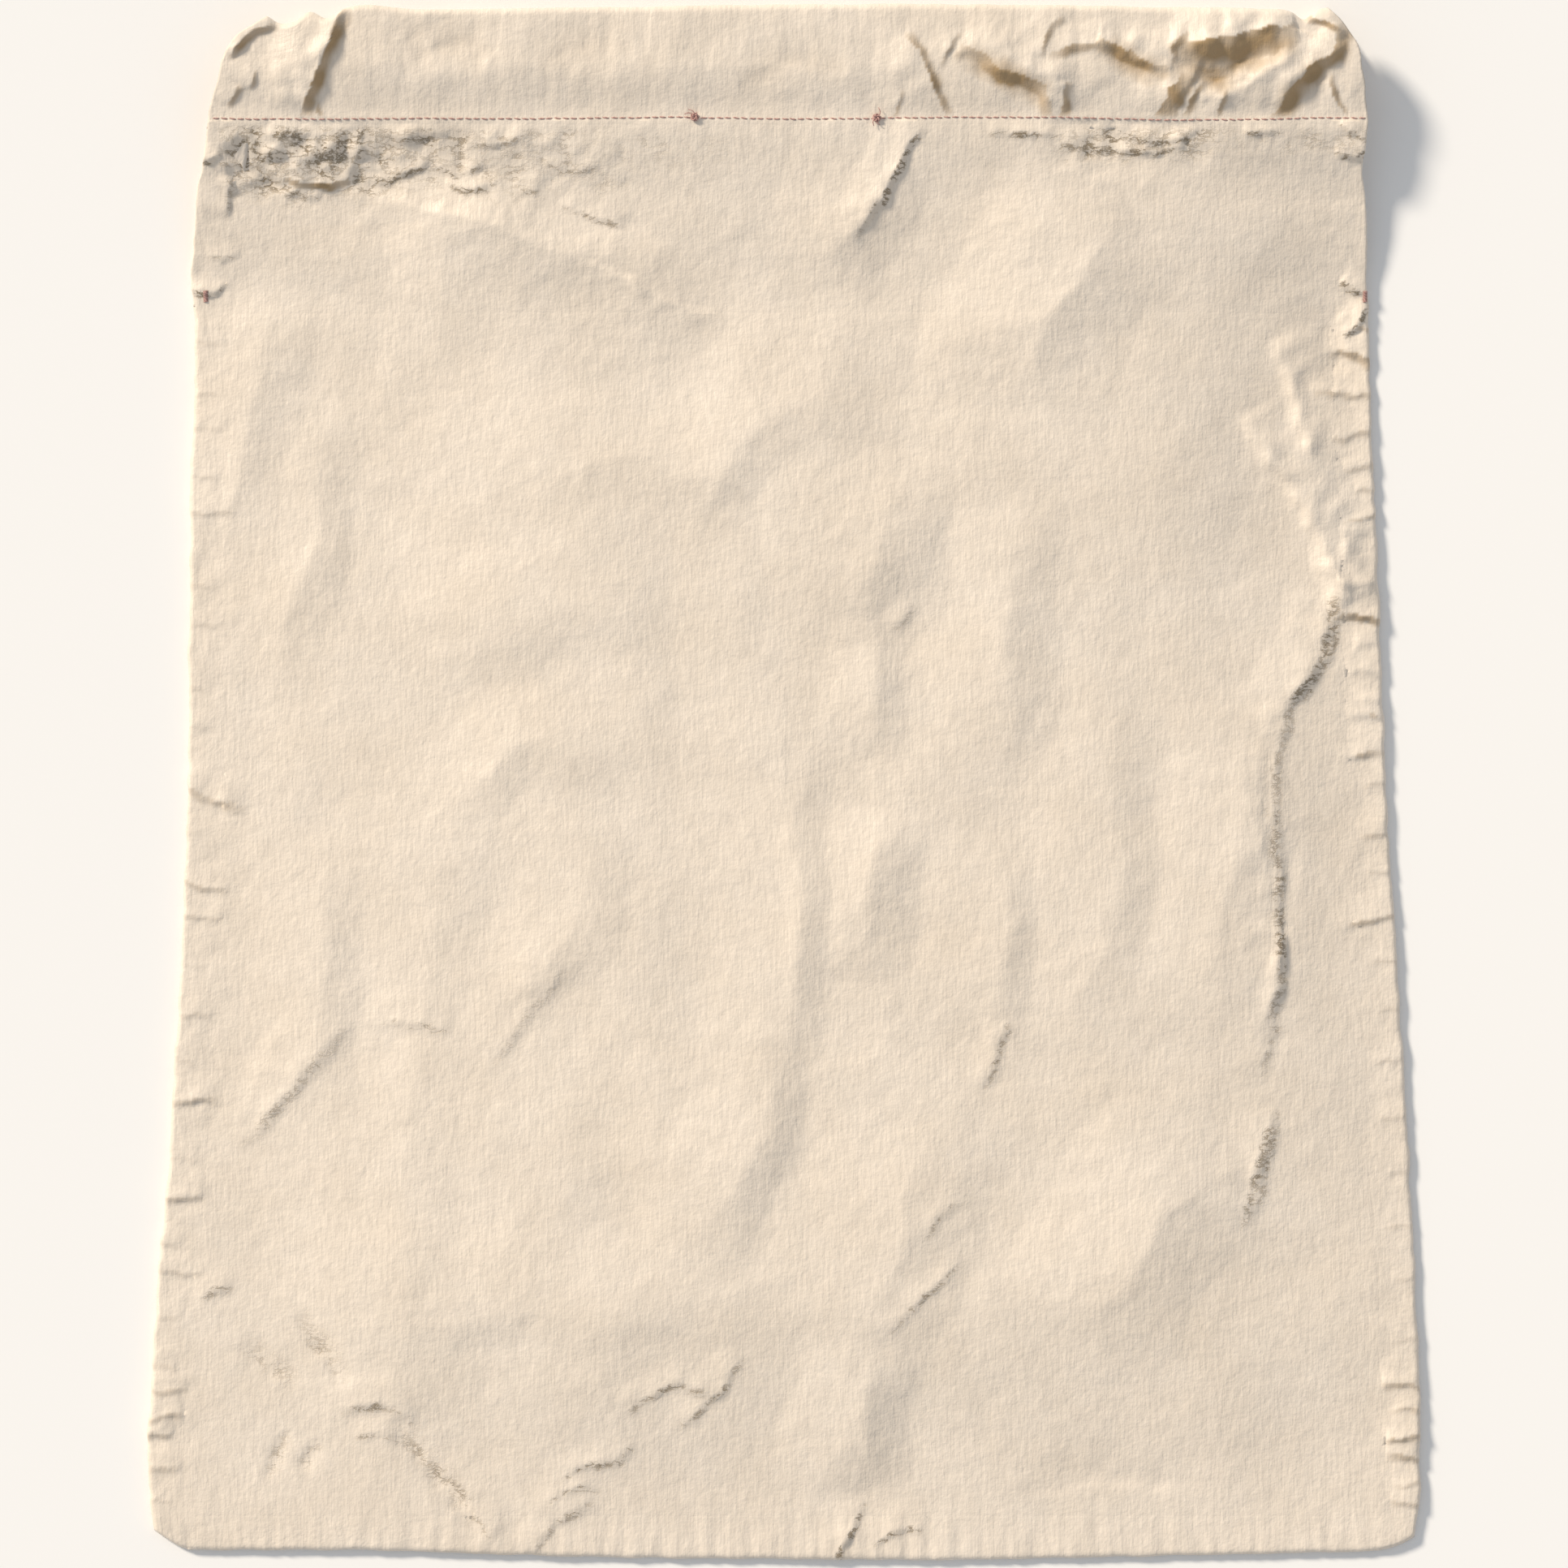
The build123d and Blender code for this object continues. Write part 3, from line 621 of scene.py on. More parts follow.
def taffeta(name, pale, dark, fold, hair):
    """Nylon taffeta of filament yarn, woven plain and washed until it crinkles. The eye sees a
    soft satin gloss, fine upright lines where the warp is thicker, and small dents that catch
    the light. Shade is painted on it as well: a browner tone where a fold lies in shade, and
    dark hair-fine crease shade where it is crushed."""
    made, tree = new_material(name)
    flat = node(tree, "ShaderNodeUVMap", {"uv_map": "flat"}).outputs[0]
    warp_pitch, warp_run = 0.8, 6.5  # mm; the real threads are finer than can be seen
    stretched = node(
        tree,
        "ShaderNodeMapping",
        {"Scale": (1 / (warp_pitch * MM), 1 / (warp_run * MM), 1.0)},
        {"Vector": flat},
    )
    warp = node(
        tree,
        "ShaderNodeTexNoise",
        {"noise_dimensions": "2D", "Scale": 1.0, "Detail": 2.0, "Roughness": 0.6},
        {"Vector": stretched.outputs[0]},
    )
    # soft patches of tone 30 mm across, papery dents of 4.5 mm, and the yarn's 1.3 mm grain
    patch = node(
        tree,
        "ShaderNodeTexNoise",
        {"noise_dimensions": "2D", "Scale": 1 / (30 * MM), "Detail": 5.0, "Roughness": 0.62},
        {"Vector": flat},
    )
    dents = node(
        tree,
        "ShaderNodeTexNoise",
        {"noise_dimensions": "2D", "Scale": 1 / (4.5 * MM), "Detail": 4.0, "Roughness": 0.6},
        {"Vector": flat},
    )
    grain = node(
        tree,
        "ShaderNodeTexNoise",
        {"noise_dimensions": "2D", "Scale": 1 / (1.3 * MM), "Detail": 2.0},
        {"Vector": flat},
    )
    tone = node(
        tree,
        "ShaderNodeMix",
        {"data_type": "RGBA", 6: linear(dark), 7: linear(pale)},
        {0: patch.outputs[0]},
    )
    lined = node(
        tree,
        "ShaderNodeMapRange",
        {"From Min": 0.3, "From Max": 0.7, "To Min": 0.94, "To Max": 1.035},
        {"Value": warp.outputs[0]},
    )
    lines = node(
        tree,
        "ShaderNodeMix",
        {"data_type": "RGBA", "blend_type": "MULTIPLY", 0: 1.0},
        {6: tone.outputs[2], 7: lined.outputs[0]},
    )
    folded = node(tree, "ShaderNodeAttribute", {"attribute_name": "fold_shade"})
    # crushed cloth: painted shade of ragged hair-fine creases, 6.5 mm long and 3.4 mm apart,
    # drawn where the shade is less than 0 and along the middle line of the noise, with a bump
    crushed = node(
        tree,
        "ShaderNodeMapping",
        {"Scale": (1 / (6.5 * MM), 1 / (3.4 * MM), 1.0)},
        {"Vector": flat},
    )
    ragged = node(
        tree,
        "ShaderNodeTexNoise",
        {"noise_dimensions": "2D", "Scale": 1.0, "Detail": 6.0, "Roughness": 0.68},
        {"Vector": crushed.outputs[0]},
    )
    middle = node(tree, "ShaderNodeMath", {"operation": "SUBTRACT", 1: 0.5}, {0: ragged.outputs[0]})
    away = node(tree, "ShaderNodeMath", {"operation": "ABSOLUTE"}, {0: middle.outputs[0]})
    crease = node(
        tree,
        "ShaderNodeMapRange",
        {"From Min": 0.0, "From Max": 0.05, "To Min": 0.9, "To Max": 0.1},
        {"Value": away.outputs[0]},
    )
    crush_and_painted_shade = node(
        tree,
        "ShaderNodeMapRange",
        {"From Min": -0.03, "From Max": -0.6},
        {"Value": folded.outputs["Fac"]},
    )
    creased = node(
        tree,
        "ShaderNodeMath",
        {"operation": "MULTIPLY"},
        {0: crease.outputs[0], 1: crush_and_painted_shade.outputs[0]},
    )
    # painted shade: the fold colour is mixed in where fold_shade is above 0, and the dark crease colour
    # along the crushed lines
    browner = node(
        tree,
        "ShaderNodeMix",
        {"data_type": "RGBA", 7: linear(fold)},
        {0: folded.outputs["Fac"], 6: lines.outputs[2]},
    )
    colour = node(
        tree,
        "ShaderNodeMix",
        {"data_type": "RGBA", 7: linear(hair)},
        {0: creased.outputs[0], 6: browner.outputs[2]},
    )
    sunk = node(
        tree, "ShaderNodeMath", {"operation": "SUBTRACT", 0: 1.0}, {1: creased.outputs[0]}
    )
    # one bump for each pattern, with its depth in mm
    bumps = None
    for source, depth in ((dents, 0.30), (grain, 0.08), (warp, 0.09), (sunk, 0.22)):
        links = {"Height": source.outputs[0]}
        if bumps:
            links["Normal"] = bumps.outputs[0]
        bumps = node(tree, "ShaderNodeBump", {"Strength": 1.0, "Distance": depth * MM}, links)
    shader = node(
        tree,
        "ShaderNodeBsdfPrincipled",
        {
            "Roughness": 0.5,
            "Specular IOR Level": 0.35,
            "IOR": 1.5,
            "Sheen Weight": 0.12,
            "Sheen Roughness": 0.4,
        },
        {"Base Color": colour.outputs[2], "Normal": bumps.outputs[0]},
    )
    node(tree, "ShaderNodeOutputMaterial", links={"Surface": shader.outputs[0]})
    return made


# the last two colours are painted shade: the brown of a shaded fold and the dark of a shaded crease
crinkled_taffeta = taffeta("crinkled_nylon_taffeta", "#ECE0D1", "#DFD1BF", "#A88E6A", "#927C58")

x, y, past_seam = between_seams(FOLD_END - LAP, LIP_START + LAP, HALF, STEP)
height, shade = front_height(x, y)
height -= lap_dip(past_seam) + lap_dip(FOLD_END - y) + lap_dip(y - LIP_START)
front_cloth = cloth_piece(
    "front_cloth", np.dstack([x, y, height]), np.dstack([x, y]), shade, crinkled_taffeta
)
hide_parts("front_panel", "front_yoke")
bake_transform(front_cloth)

# ---- Strip round the bottom ---------------------------------------------------------
# The same cloth turned round the bottom without a seam, from the back to the front. It
# is pressed flat, so it is gathered into many narrow upright wrinkles.
TURN_STEP = 0.8  # mm between its points
TURN_HALF = 156  # mm, about half its width
TURN_REACH = 1.5  # mm from the bag's end to where the round turn starts
WAVER = 9.0  # mm over which the waver of the bottom fold dies away


def bottom_wave(x):
    """How far the bottom fold strays from a straight line at x, in mm."""
    sag = [(-165, 1.0), (-107, 0.7), (-60, -0.7), (0, -1.5), (50, -1.6), (100, -0.6), (165, 0.8)]
    return through(sag, x) + 0.3 * soft_noise(x, 0 * x, 7, 32)


def around(first, last, low, high, radius, steps):
    """Section of cloth that turns back on itself, as y and z in mm and the run of the cloth:
    a flat ply at high from first to last, a round turn, and a flat ply at low."""
    ply_steps, turn_steps = steps
    way = math.copysign(1, last - first)
    middle = (low + high) / 2
    half = (high - low) / 2
    flat_y = np.linspace(first, last - way * radius, ply_steps)
    angle = np.linspace(math.pi / 2, -math.pi / 2, turn_steps)[1:-1]
    y = np.concatenate([flat_y, last - way * radius * (1 - np.cos(angle)), flat_y[::-1]])
    z = np.concatenate([0 * flat_y + high, middle + half * np.sin(angle), 0 * flat_y + low])
    run = np.concatenate([[0], np.cumsum(np.hypot(np.diff(y), np.diff(z)))])
    return y, z, first + way * run


ply_steps = 2 * round((FOLD_END + LAP - BOTTOM) / TURN_STEP / 2) + 1
section_y, section_z, run = around(
    FOLD_END + LAP, BOTTOM, 0.0, EDGE, TURN_REACH, (ply_steps, 11)
)
section_y, section_z, run = (part[:, None] for part in (section_y, section_z, run))
top = (section_z / EDGE).clip(0, 1)
share = np.linspace(-1, 1, 2 * round(TURN_HALF / TURN_STEP) + 1)[None, :]
inner_edge = half_width(share, section_y) - SEAM
x = share * (inner_edge + LAP)
near = 1 - ease(section_y, BOTTOM, BOTTOM + WAVER)
y = section_y + near * bottom_wave(x)
height, shade = front_height(x, np.maximum(y, BOTTOM))
relief = height - EDGE
under = 0.22 * (1 + soft_noise(x, 0.2 * y, 4.2, 33)) * (1 - top)
z = section_z + top * (relief - lap_dip(abs(x) - inner_edge) - lap_dip(y - FOLD_END)) + under
bottom_turn = cloth_piece(
    "bottom_turn",
    np.dstack([x, y, z])[::-1],
    np.dstack([x, run + 0 * x])[::-1],
    (shade * top)[::-1],
    crinkled_taffeta,
)
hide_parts("bottom_fold")
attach(bottom_turn, "pouch")

# ---- Back cloth ---------------------------------------------------------------------
# The back of the bag, one ply of the same cloth from the bottom fold to the stitch row of
# its casing. It lies flat on the table, with shallow dents where it doesn't touch it.
BACK_STEP = 2.0  # mm between its points


def back_lift(x, y):
    """Height of the back cloth's underside over the table: shallow dents, never below 0, and
    a groove where the stitch row pulls the plies together."""
    dents = 0.16 * (1 + soft_noise(x, y, 26, 41)) + 0.08 * (1 + crumple(x, y, 9, 42))
    return dents.clip(0, None) + 0.35 * np.exp(-(((y - ROW - 1) / 1.2) ** 2))


x, y, past_seam = between_seams(FOLD_END - LAP, ROW + LAP, HALF, BACK_STEP, way=-1)
past = lap_dip(past_seam) + lap_dip(FOLD_END - y) + lap_dip(y - ROW)
back_cloth = cloth_piece(
    "back_cloth",
    np.dstack([x, y, back_lift(x, y) + past]),
    np.dstack([x, y]),
    0 * x,
    crinkled_taffeta,
)
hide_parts("back_panel", "back_yoke")
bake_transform(back_cloth)

# ---- Side seams ---------------------------------------------------------------------
# Enclosed seams: both raw edges are folded in between the front and back cloth and sewn,
# so that only a soft double edge shows outside. The row inside pulls it into short tucks.
SEAM_STEP = 0.7  # mm between its points along the seam
SEAM_RUN = 0.55  # mm between its points across the seam
CORNER = {-1: 5.0, 1: 3.5}  # mm by which the bottom corner is cut off, left and right
CORNER_RISE = 26.0  # mm over which the cut corner runs up the side
SEAM_TOP = SLIT_FOOT + 0.6


def edge_strip(name, side, y, low, high, radius, levels, closed_foot=False):
    """A strip of cloth that turns round the bag's side edge, from its inner line on the top
    round the edge to its inner line underneath. levels(x, y) gives the heights of its top and
    of its underside, and its shade; with closed_foot they meet in a round end at the bottom."""
    ply_steps = 2 * round((SEAM + LAP) / SEAM_RUN / 2)
    inward, level, run = around(SEAM + LAP, 0.0, low, high, radius, (ply_steps + 1, 9))
    inward, level, run = inward[None, :], level[None, :], run[None, :]
    top = (level - low) / (high - low)
    y = y[:, None] + 0 * inward
    foot = 1 - ease(y, BOTTOM, BOTTOM + CORNER_RISE)
    cut = foot * CORNER[side] * ((SEAM - inward) / SEAM).clip(0, 1) ** 1.6
    x = side * (edge_x(y, side) - inward)
    if closed_foot:
        near = 1 - ease(y, BOTTOM, BOTTOM + WAVER)
        y = y + cut + near * bottom_wave(x)
    upper, under, shade = levels(x, y)
    past = lap_dip(inward - SEAM)
    z = top * (upper - past) + (1 - top) * (under + past)
    if closed_foot:
        rise = 1 - ((y - y.min(0)) / 1.3).clip(0, 1)
        middle = (upper + under) / 2
        z = middle + (z - middle) * np.sqrt(1 - rise**2)
    grid = np.dstack([x, y, z])
    flat = np.dstack([side * (edge_x(y, side) - run), y])
    if side > 0:
        grid, flat, shade, top = grid[:, ::-1], flat[:, ::-1], shade[:, ::-1], top[:, ::-1]
    grid, flat = grid[::-1], flat[::-1]
    piece = cloth_piece(name, grid, flat, (shade * (top > 0.5))[::-1], crinkled_taffeta)
    return piece


def seam_levels(x, y):
    """Top and underside of the seam, the front's own height over the back's, and its shade."""
    upper, shade = front_height(x, y)
    past = lap_dip(y - SEAM_TOP + LAP)
    return upper - past, back_lift(x, y) + past, shade


for side, hand in ((-1, "left"), (1, "right")):
    y = spaced(BOTTOM, SEAM_TOP, SEAM_STEP)
    seam = edge_strip(f"{hand}_side_seam", side, y, 0.0, EDGE, 1.1, seam_levels, True)
    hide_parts(f"{hand}_seam_allowance", f"{hand}_seam_thread", f"{hand}_seam_top")
    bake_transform(seam)

# ---- Lip cloth ----------------------------------------------------------------------
# The front cloth goes on above the side slits, where it isn't sewn to the back any more.
# It climbs to the stitch row, and is the most crushed part of the bag.
LIP_STEP = 0.75  # mm between its points
LIP_HALF = 144  # mm, about half its width
LIP_END = ROW - 0.4  # where it ends, under the casing's lower edge

x, y, past_seam = between_seams(LIP_START - LAP, LIP_END + LAP, LIP_HALF, LIP_STEP)
height, shade = front_height(x, y)
height -= lap_dip(past_seam) + lap_dip(LIP_START - y) + lap_dip(y - LIP_END)
lip_cloth = cloth_piece(
    "lip_cloth", np.dstack([x, y, height]), np.dstack([x, y]), shade, crinkled_taffeta
)
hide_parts("front_lip_cloth")
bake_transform(lip_cloth)

# ---- Slit hems ----------------------------------------------------------------------
# Above the foot of each slit the seam ends, and the front and back cloth each have an edge
# of their own, turned in once and pressed. Their lower ends are caught in the seam.
HEM = 1.1  # mm, thickness of a hem with the air in it
TUCKED = 0.2  # mm by which a hem's lower end lies inside the seam


def tucked(y):
    """How far a hem sinks at y, in mm, where its lower end is caught in the seam."""
    return TUCKED * (1 - ease(y, SLIT_FOOT - 2.0, SEAM_TOP))


def front_hem_levels(x, y):
    """Top and underside of a front slit hem, the front's own height and one hem below its calm
    level, and its shade."""
    upper, shade = front_height(x, y)
    return upper - tucked(y), front_level(x, y) - HEM, shade


def back_hem_levels(x, y):
    """Top and underside of a back slit hem, which lies on the table and has no shade."""
    under = back_lift(x, y) + tucked(y)
    return under + HEM + 0.15 * crumple(x, y, 6, 43), under, 0 * x


for side, hand in ((-1, "left"), (1, "right")):
    y = spaced(OPEN_START, ROW + 0.6, SEAM_STEP)
    front_hem = edge_strip(f"front_{hand}_hem", side, y, 0.0, HEM, 0.5, front_hem_levels)
    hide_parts(f"front_{hand}_slit_hem")
    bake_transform(front_hem)
    back_hem = edge_strip(f"back_{hand}_hem", side, y, 0.0, HEM, 0.5, back_hem_levels)
    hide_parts(f"back_{hand}_slit_hem")
    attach(back_hem, "mouth_end")

# ---- Casings ------------------------------------------------------------------------
# Front and back have each a tunnel for the drawcord along the mouth: the cloth is turned
# in and sewn down with one row. The front one shows, and the cord has left it gathered:
# smooth bulges between sharp pleats, with deep folds and rolled corners at both ends.
CASING_STEP = 0.6  # mm between its points
CASING_HALF = 150  # mm, about half its width
HELD = 1.2  # mm, thickness of the casing where its row holds it
PUFF = 2.3  # mm by which the tunnel stands above its row
TURN = 1.8  # mm, radius of the fold at the mouth edge
ROW_GRIP = 1.6  # mm by which the upper ply runs down past the row over the lip cloth

# folds of the front casing, written like those of the front cloth, with their painted shade
CASING_FOLDS = [
    # left end: the deep pleat, and the rolled corner beyond it
    (2.4, 9.0, 1.3, 1.0, [(-126, 172), (-123.7, 177.2), (-120.3, 186.2), (-114.6, 200.5)]),
    (0.5, 3.0, 0.8, 0.5, [(-121, 172), (-121, 177)]),
    (0.7, 4.0, 0.8, 0.6, [(-139, 180), (-137, 184.5)]),
    (0.9, 5.0, 0.9, 0.6, [(-144, 174.8), (-141, 180.4)]),
    (1.8, 2.5, 0.9, 0.9, [(-144, 188), (-138, 194), (-131.5, 197)]),
    # shallow valleys of the calm part, with a little painted shade
    (-0.8, 8.0, 5.0, 0.12, [(-100, 187), (-88, 190), (-76, 187)]),
    (-0.6, 6.0, 5.0, 0.1, [(-64, 186), (-52, 190), (-40, 189)]),
    (-0.6, 6.0, 4.0, 0.1, [(-12, 181), (2, 186), (16, 184)]),
    # right of the middle
    (1.2, 8.0, 1.2, 0.9, [(41.6, 172.5), (39.9, 175.8), (35.9, 185.9), (30.5, 193.5)]),
    (0.6, 4.0, 0.8, 0.4, [(40.4, 184), (41.9, 189), (44, 194.5)]),
    (0.5, 4.0, 0.8, 0.5, [(27.8, 172), (29.3, 179)]),
    (-1.0, 3.0, 3.0, 0.8, [(46, 188), (56, 183.5), (68, 177)]),
    (
        2.0, 7.0, 2.0, 1.0,
        [(44.5, 190.5), (51, 188.4), (57, 183.8), (65, 181.3), (68, 178.3), (70, 173)],
    ),
    (0.9, 5.0, 1.1, 0.6, [(65.5, 187.5), (67, 194), (71, 198.5)]),
    (0.9, 4.0, 1.1, 0.8, [(71, 172), (72.5, 180.8)]),
    (0.9, 4.0, 1.4, 0.7, [(67.5, 188.4), (73, 190.4), (82.5, 191.9)]),
    (-1.0, 3.2, 3.2, 0.8, [(82, 190.5), (90, 185.8), (99, 183)]),
    (1.9, 5.0, 2.2, 1.0, [(80, 193), (89.1, 189), (95, 186), (100, 185.5)]),
    (1.0, 4.0, 1.1, 0.8, [(100, 184.4), (100.2, 190.4), (102.9, 194.8)]),
    # the deep hollow near the right end, under an overhanging fold, with dark brown painted shade
    (3.2, 6.0, 4.2, 1.0, [(99, 191.4), (109.3, 192), (118.3, 193.6), (132, 196.4)]),
    (-1.0, 4.0, 4.0, 0.9, [(99, 187), (106, 185), (113, 184.6), (120, 187.6), (129, 191)]),
    (-1.4, 3.4, 3.4, 0.9, [(106, 184), (111, 182), (117, 184)]),
    (1.3, 2.6, 5.0, 0.0, [(107, 176.5), (117.5, 178), (124, 183.5), (132, 188)]),
    (1.5, 6.0, 2.6, 0.9, [(95, 171.5), (99, 178), (103, 184.5)]),
    (0.9, 1.6, 1.2, 0.8, [(99, 171.5), (102, 178), (106, 184)]),
    (0.7, 1.6, 1.2, 0.7, [(103, 172), (105, 178), (108, 182)]),
    (0.9, 3.0, 0.9, 0.7, [(111.6, 172), (113.4, 179.3)]),
    (-1.0, 2.4, 2.4, 0.8, [(127, 173), (133.5, 180), (140, 187)]),
    (
        2.5, 9.0, 2.0, 1.0,
        [(123, 171), (127.8, 174.8), (131.3, 180.8), (136.3, 185.9), (142, 191), (141, 196)],
    ),
    (0.8, 3.0, 0.9, 0.8, [(144.6, 172.4), (142.4, 175.8), (140.2, 182.4)]),
    (1.3, 2.5, 0.9, 0.8, [(133.4, 199), (140, 196.6), (144.6, 193)]),
]


def casing_relief(x, y):
    """Height of the front casing's upper ply over its calm level, and the shade painted in its
    folds: upright gathers, papery dents that grow towards the right end, and the folds."""
    right_end = ease(x, 45, 95)
    height = (0.25 + 0.2 * right_end) * soft_noise(x, 0.22 * y, 7.5, 51)
    height += 0.12 * soft_noise(x, 0.2 * y, 3.0, 52)
    height += (0.14 + 0.3 * right_end) * crumple(x, y, 8.5, 53)
    height += (0.05 + 0.1 * right_end) * crumple(x, y, 4.0, 54)
    shade = np.zeros_like(height)
    lay_folds(x, y, CASING_FOLDS, height, shade)
    calm = ease(y, ROW + 0.8, ROW + 7)
    return height * (0.12 + 0.88 * calm), shade * ease(y, ROW + 0.5, ROW + 2.5)


def puffed(y):
    """0 on the row and 1 where the tunnel has its full height, at y."""
    return ease(y, ROW + 1.4, ROW + 15)


def pressed_down(y):
    """1 below the row, where the casing's upper ply lies on the lip cloth, and 0 above it."""
    return 1 - ease(y, LIP_END, ROW + 1.6)


def mouth_wave(x):
    """How far the mouth's edge strays from a straight line at x, in mm."""
    edge = [
        (-150, -1), (-139, -0.8), (-134, -1.7), (-131, -3.4), (-127, -3.0), (-123, -0.6),
        (-118.5, -2.2), (-114.5, 0), (-95, 0.1), (-50, 0.6), (0, 1.4), (50, 1.4), (100, 0.6),
        (122, 0.2), (131, -0.8), (133.8, -2.6), (136.5, -0.6), (150, -0.4),
    ]
    return through(edge, x) + 0.25 * soft_noise(x, 0 * x, 8, 57)


def casing_tube(name, base, relief):
    """A casing as one ply that runs up from the row, round the mouth edge and back below."""
    ply_steps = 2 * round((MOUTH - ROW) / CASING_STEP / 2) + 1
    high = base + HELD + PUFF
    y, level, run = around(ROW - ROW_GRIP, MOUTH, base, high, TURN, (ply_steps, 13))
    y, level, run = (part[:, None] for part in (y, level, run))
    top = (level - base) / (high - base)
    share = np.linspace(-1, 1, 2 * round(CASING_HALF / CASING_STEP) + 1)[None, :]
    x = share * half_width(share, y)
    y = y + ease(y, MOUTH - 14, MOUTH) * mouth_wave(x)
    height, shade = relief(x, y)
    under = 0.2 * (1 + soft_noise(x, y, 9, 58)) if base == 0 else -0.2 * crumple(x, y, 9, 59)
    z = level + top * height + (1 - top) * under
    z = z - top * PUFF * (1 - puffed(y))
    if base > 0:
        meet = top * pressed_down(y)
        z = z + meet * (front_height(x, y)[0] - z) - top * lap_dip(LIP_END - y)
    grid = np.dstack([x, y + 0 * z, z])
    flat = np.dstack([x, run + 0 * x])
    return cloth_piece(name, grid, flat, shade * top, crinkled_taffeta)


def back_relief(x, y):
    """The back casing's upper ply, which lies under the front one: gathers and dents only."""
    height = 0.3 * soft_noise(x, 0.22 * y, 7.5, 61) + 0.3 * crumple(x, y, 9, 62)
    return height * ease(y, ROW + 0.8, ROW + 7), 0 * x


front_tube = casing_tube("front_casing_tube", casing_low[2], casing_relief)
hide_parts("front_casing")
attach(front_tube, "front_lip")
back_tube = casing_tube("back_casing_tube", 0.0, back_relief)
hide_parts("back_casing")
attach(back_tube, "mouth_end")

# ---- Stitch rows --------------------------------------------------------------------
# Each casing is sewn down with one lockstitch row of rose brown polyester thread, twelve
# stitches to the inch. Every stitch is a short bead of thread that dives into its holes.
STITCH = 2.1  # mm from hole to hole
THREAD = 0.4  # mm, thickness of the thread
ROW_END = 148.2  # mm from the bag's middle to the ends of a row
RINGS = 5  # of points along each bead
SIDES = 6  # of each thread
FRONT_SEED = 71
BACK_SEED = 73
BAND = 0.3125  # of a wave pattern's unit, about the spacing of its lines


def sewing_thread(name, colour, dark):
    """Spun polyester thread: matt, a little hairy, with fine slanting lines from its twist."""
    made, tree = new_material(name)
    place = node(tree, "ShaderNodeTexCoord").outputs["Object"]
    twist_pitch = 0.5  # mm from one line of the twist to the next
    twist = node(
        tree,
        "ShaderNodeTexWave",
        {"Scale": BAND / (twist_pitch * MM), "Distortion": 2.0, "bands_direction": "DIAGONAL"},
        {"Vector": place},
    )
    tone = node(
        tree,
        "ShaderNodeMix",
        {"data_type": "RGBA", 6: linear(dark), 7: linear(colour)},
        {0: twist.outputs["Fac"]},
    )
    bump = node(
        tree, "ShaderNodeBump", {"Strength": 0.6, "Distance": 0.05 * MM}, {2: twist.outputs["Fac"]}
    )
    shader = node(
        tree,
        "ShaderNodeBsdfPrincipled",
        {"Roughness": 0.75, "Sheen Weight": 0.3, "Sheen Roughness": 0.5},
        {"Base Color": tone.outputs[2], "Normal": bump.outputs[0]},
    )
    node(tree, "ShaderNodeOutputMaterial", links={"Surface": shader.outputs[0]})
    return made


def tube_faces(runs, rings, sides):
    """Faces of several tubes, each with this many rings of points and both ends closed."""
    start = (np.arange(runs) * rings * sides)[:, None, None]
    ring = (np.arange(rings - 1) * sides)[None, :, None]
    turn = np.arange(sides)[None, None, :]
    a = start + ring + turn
    b = start + ring + (turn + 1) % sides
    walls = np.stack([a, b, b + sides, a + sides], axis=3).reshape(-1, 4).tolist()
    first = (start[:, 0] + np.arange(sides)[::-1][None, :]).tolist()
    last = (start[:, 0] + (rings - 1) * sides + np.arange(sides)[None, :]).tolist()
    return walls + first + last


def thread_piece(name, paths, radius, material):
    """Round threads along paths, an array of runs, points along each run, and x, y, z in mm.
    radius is the thread's radius at each of these points."""
    along = np.gradient(paths, axis=1)
    along /= np.maximum(np.linalg.norm(along, axis=2, keepdims=True), 1e-9)
    up = np.array([0.0, 0.0, 1.0]) + 0 * along
    up = np.where(abs(along[:, :, 2:]) > 0.9, np.array([0.0, 1.0, 0.0]), up)
    side = np.cross(along, up)
    side /= np.linalg.norm(side, axis=2, keepdims=True)
    up = np.cross(side, along)
    angle = np.arange(SIDES) * 2 * math.pi / SIDES
    ring = side[:, :, None] * np.cos(angle)[:, None] + up[:, :, None] * np.sin(angle)[:, None]
    points = paths[:, :, None] + ring * np.asarray(radius)[..., None, None]
    made = bpy.data.meshes.new(name)
    faces = tube_faces(paths.shape[0], paths.shape[1], SIDES)
    made.from_pydata((points.reshape(-1, 3) * MM).tolist(), [], faces)
    made.materials.append(material)
    made.polygons.foreach_set("use_smooth", np.ones(len(faces), bool))
    piece = bpy.data.objects.new(name, made)
    bpy.context.scene.collection.objects.link(piece)
    return piece


def row_line(x, seed):
    """The row's place across the bag, in mm: it was guided by hand, so it wanders a little."""
    wander = 0.55 * soft_noise(x, 0 * x, 48, seed) + 0.14 * soft_noise(x, 0 * x, 9, seed + 1)
    return ROW + 0.9 + wander


def stitch_row(name, surface, under, seed):
    """Both sides of a lockstitch row: surface(x, y) is the height that the upper beads lie on,
    under(x, y) that of the lower ones."""
    rng = np.random.default_rng(seed)
    holes = np.arange(-ROW_END, ROW_END, STITCH)
    share = np.linspace(0, 1, RINGS)[None, :]
    paths, thick = [], []
    for level, way in ((surface, 1), (under, -1)):
        start = holes + rng.uniform(-0.12, 0.12, len(holes))
        x = start[:, None] + (0.1 + 0.8 * share) * STITCH
        y = row_line(x, seed) + (share - 0.5) * rng.uniform(-0.35, 0.1, (len(holes), 1))
        bead = np.sin(math.pi * (0.06 + 0.88 * share))
        paths.append(np.dstack([x, y, level(x, y) + way * THREAD * (0.42 * bead - 0.18)]))
        thick.append(THREAD / 2 * (0.55 + 0.45 * bead) + 0 * x)
    return thread_piece(name, np.concatenate(paths), np.concatenate(thick), rose_thread)


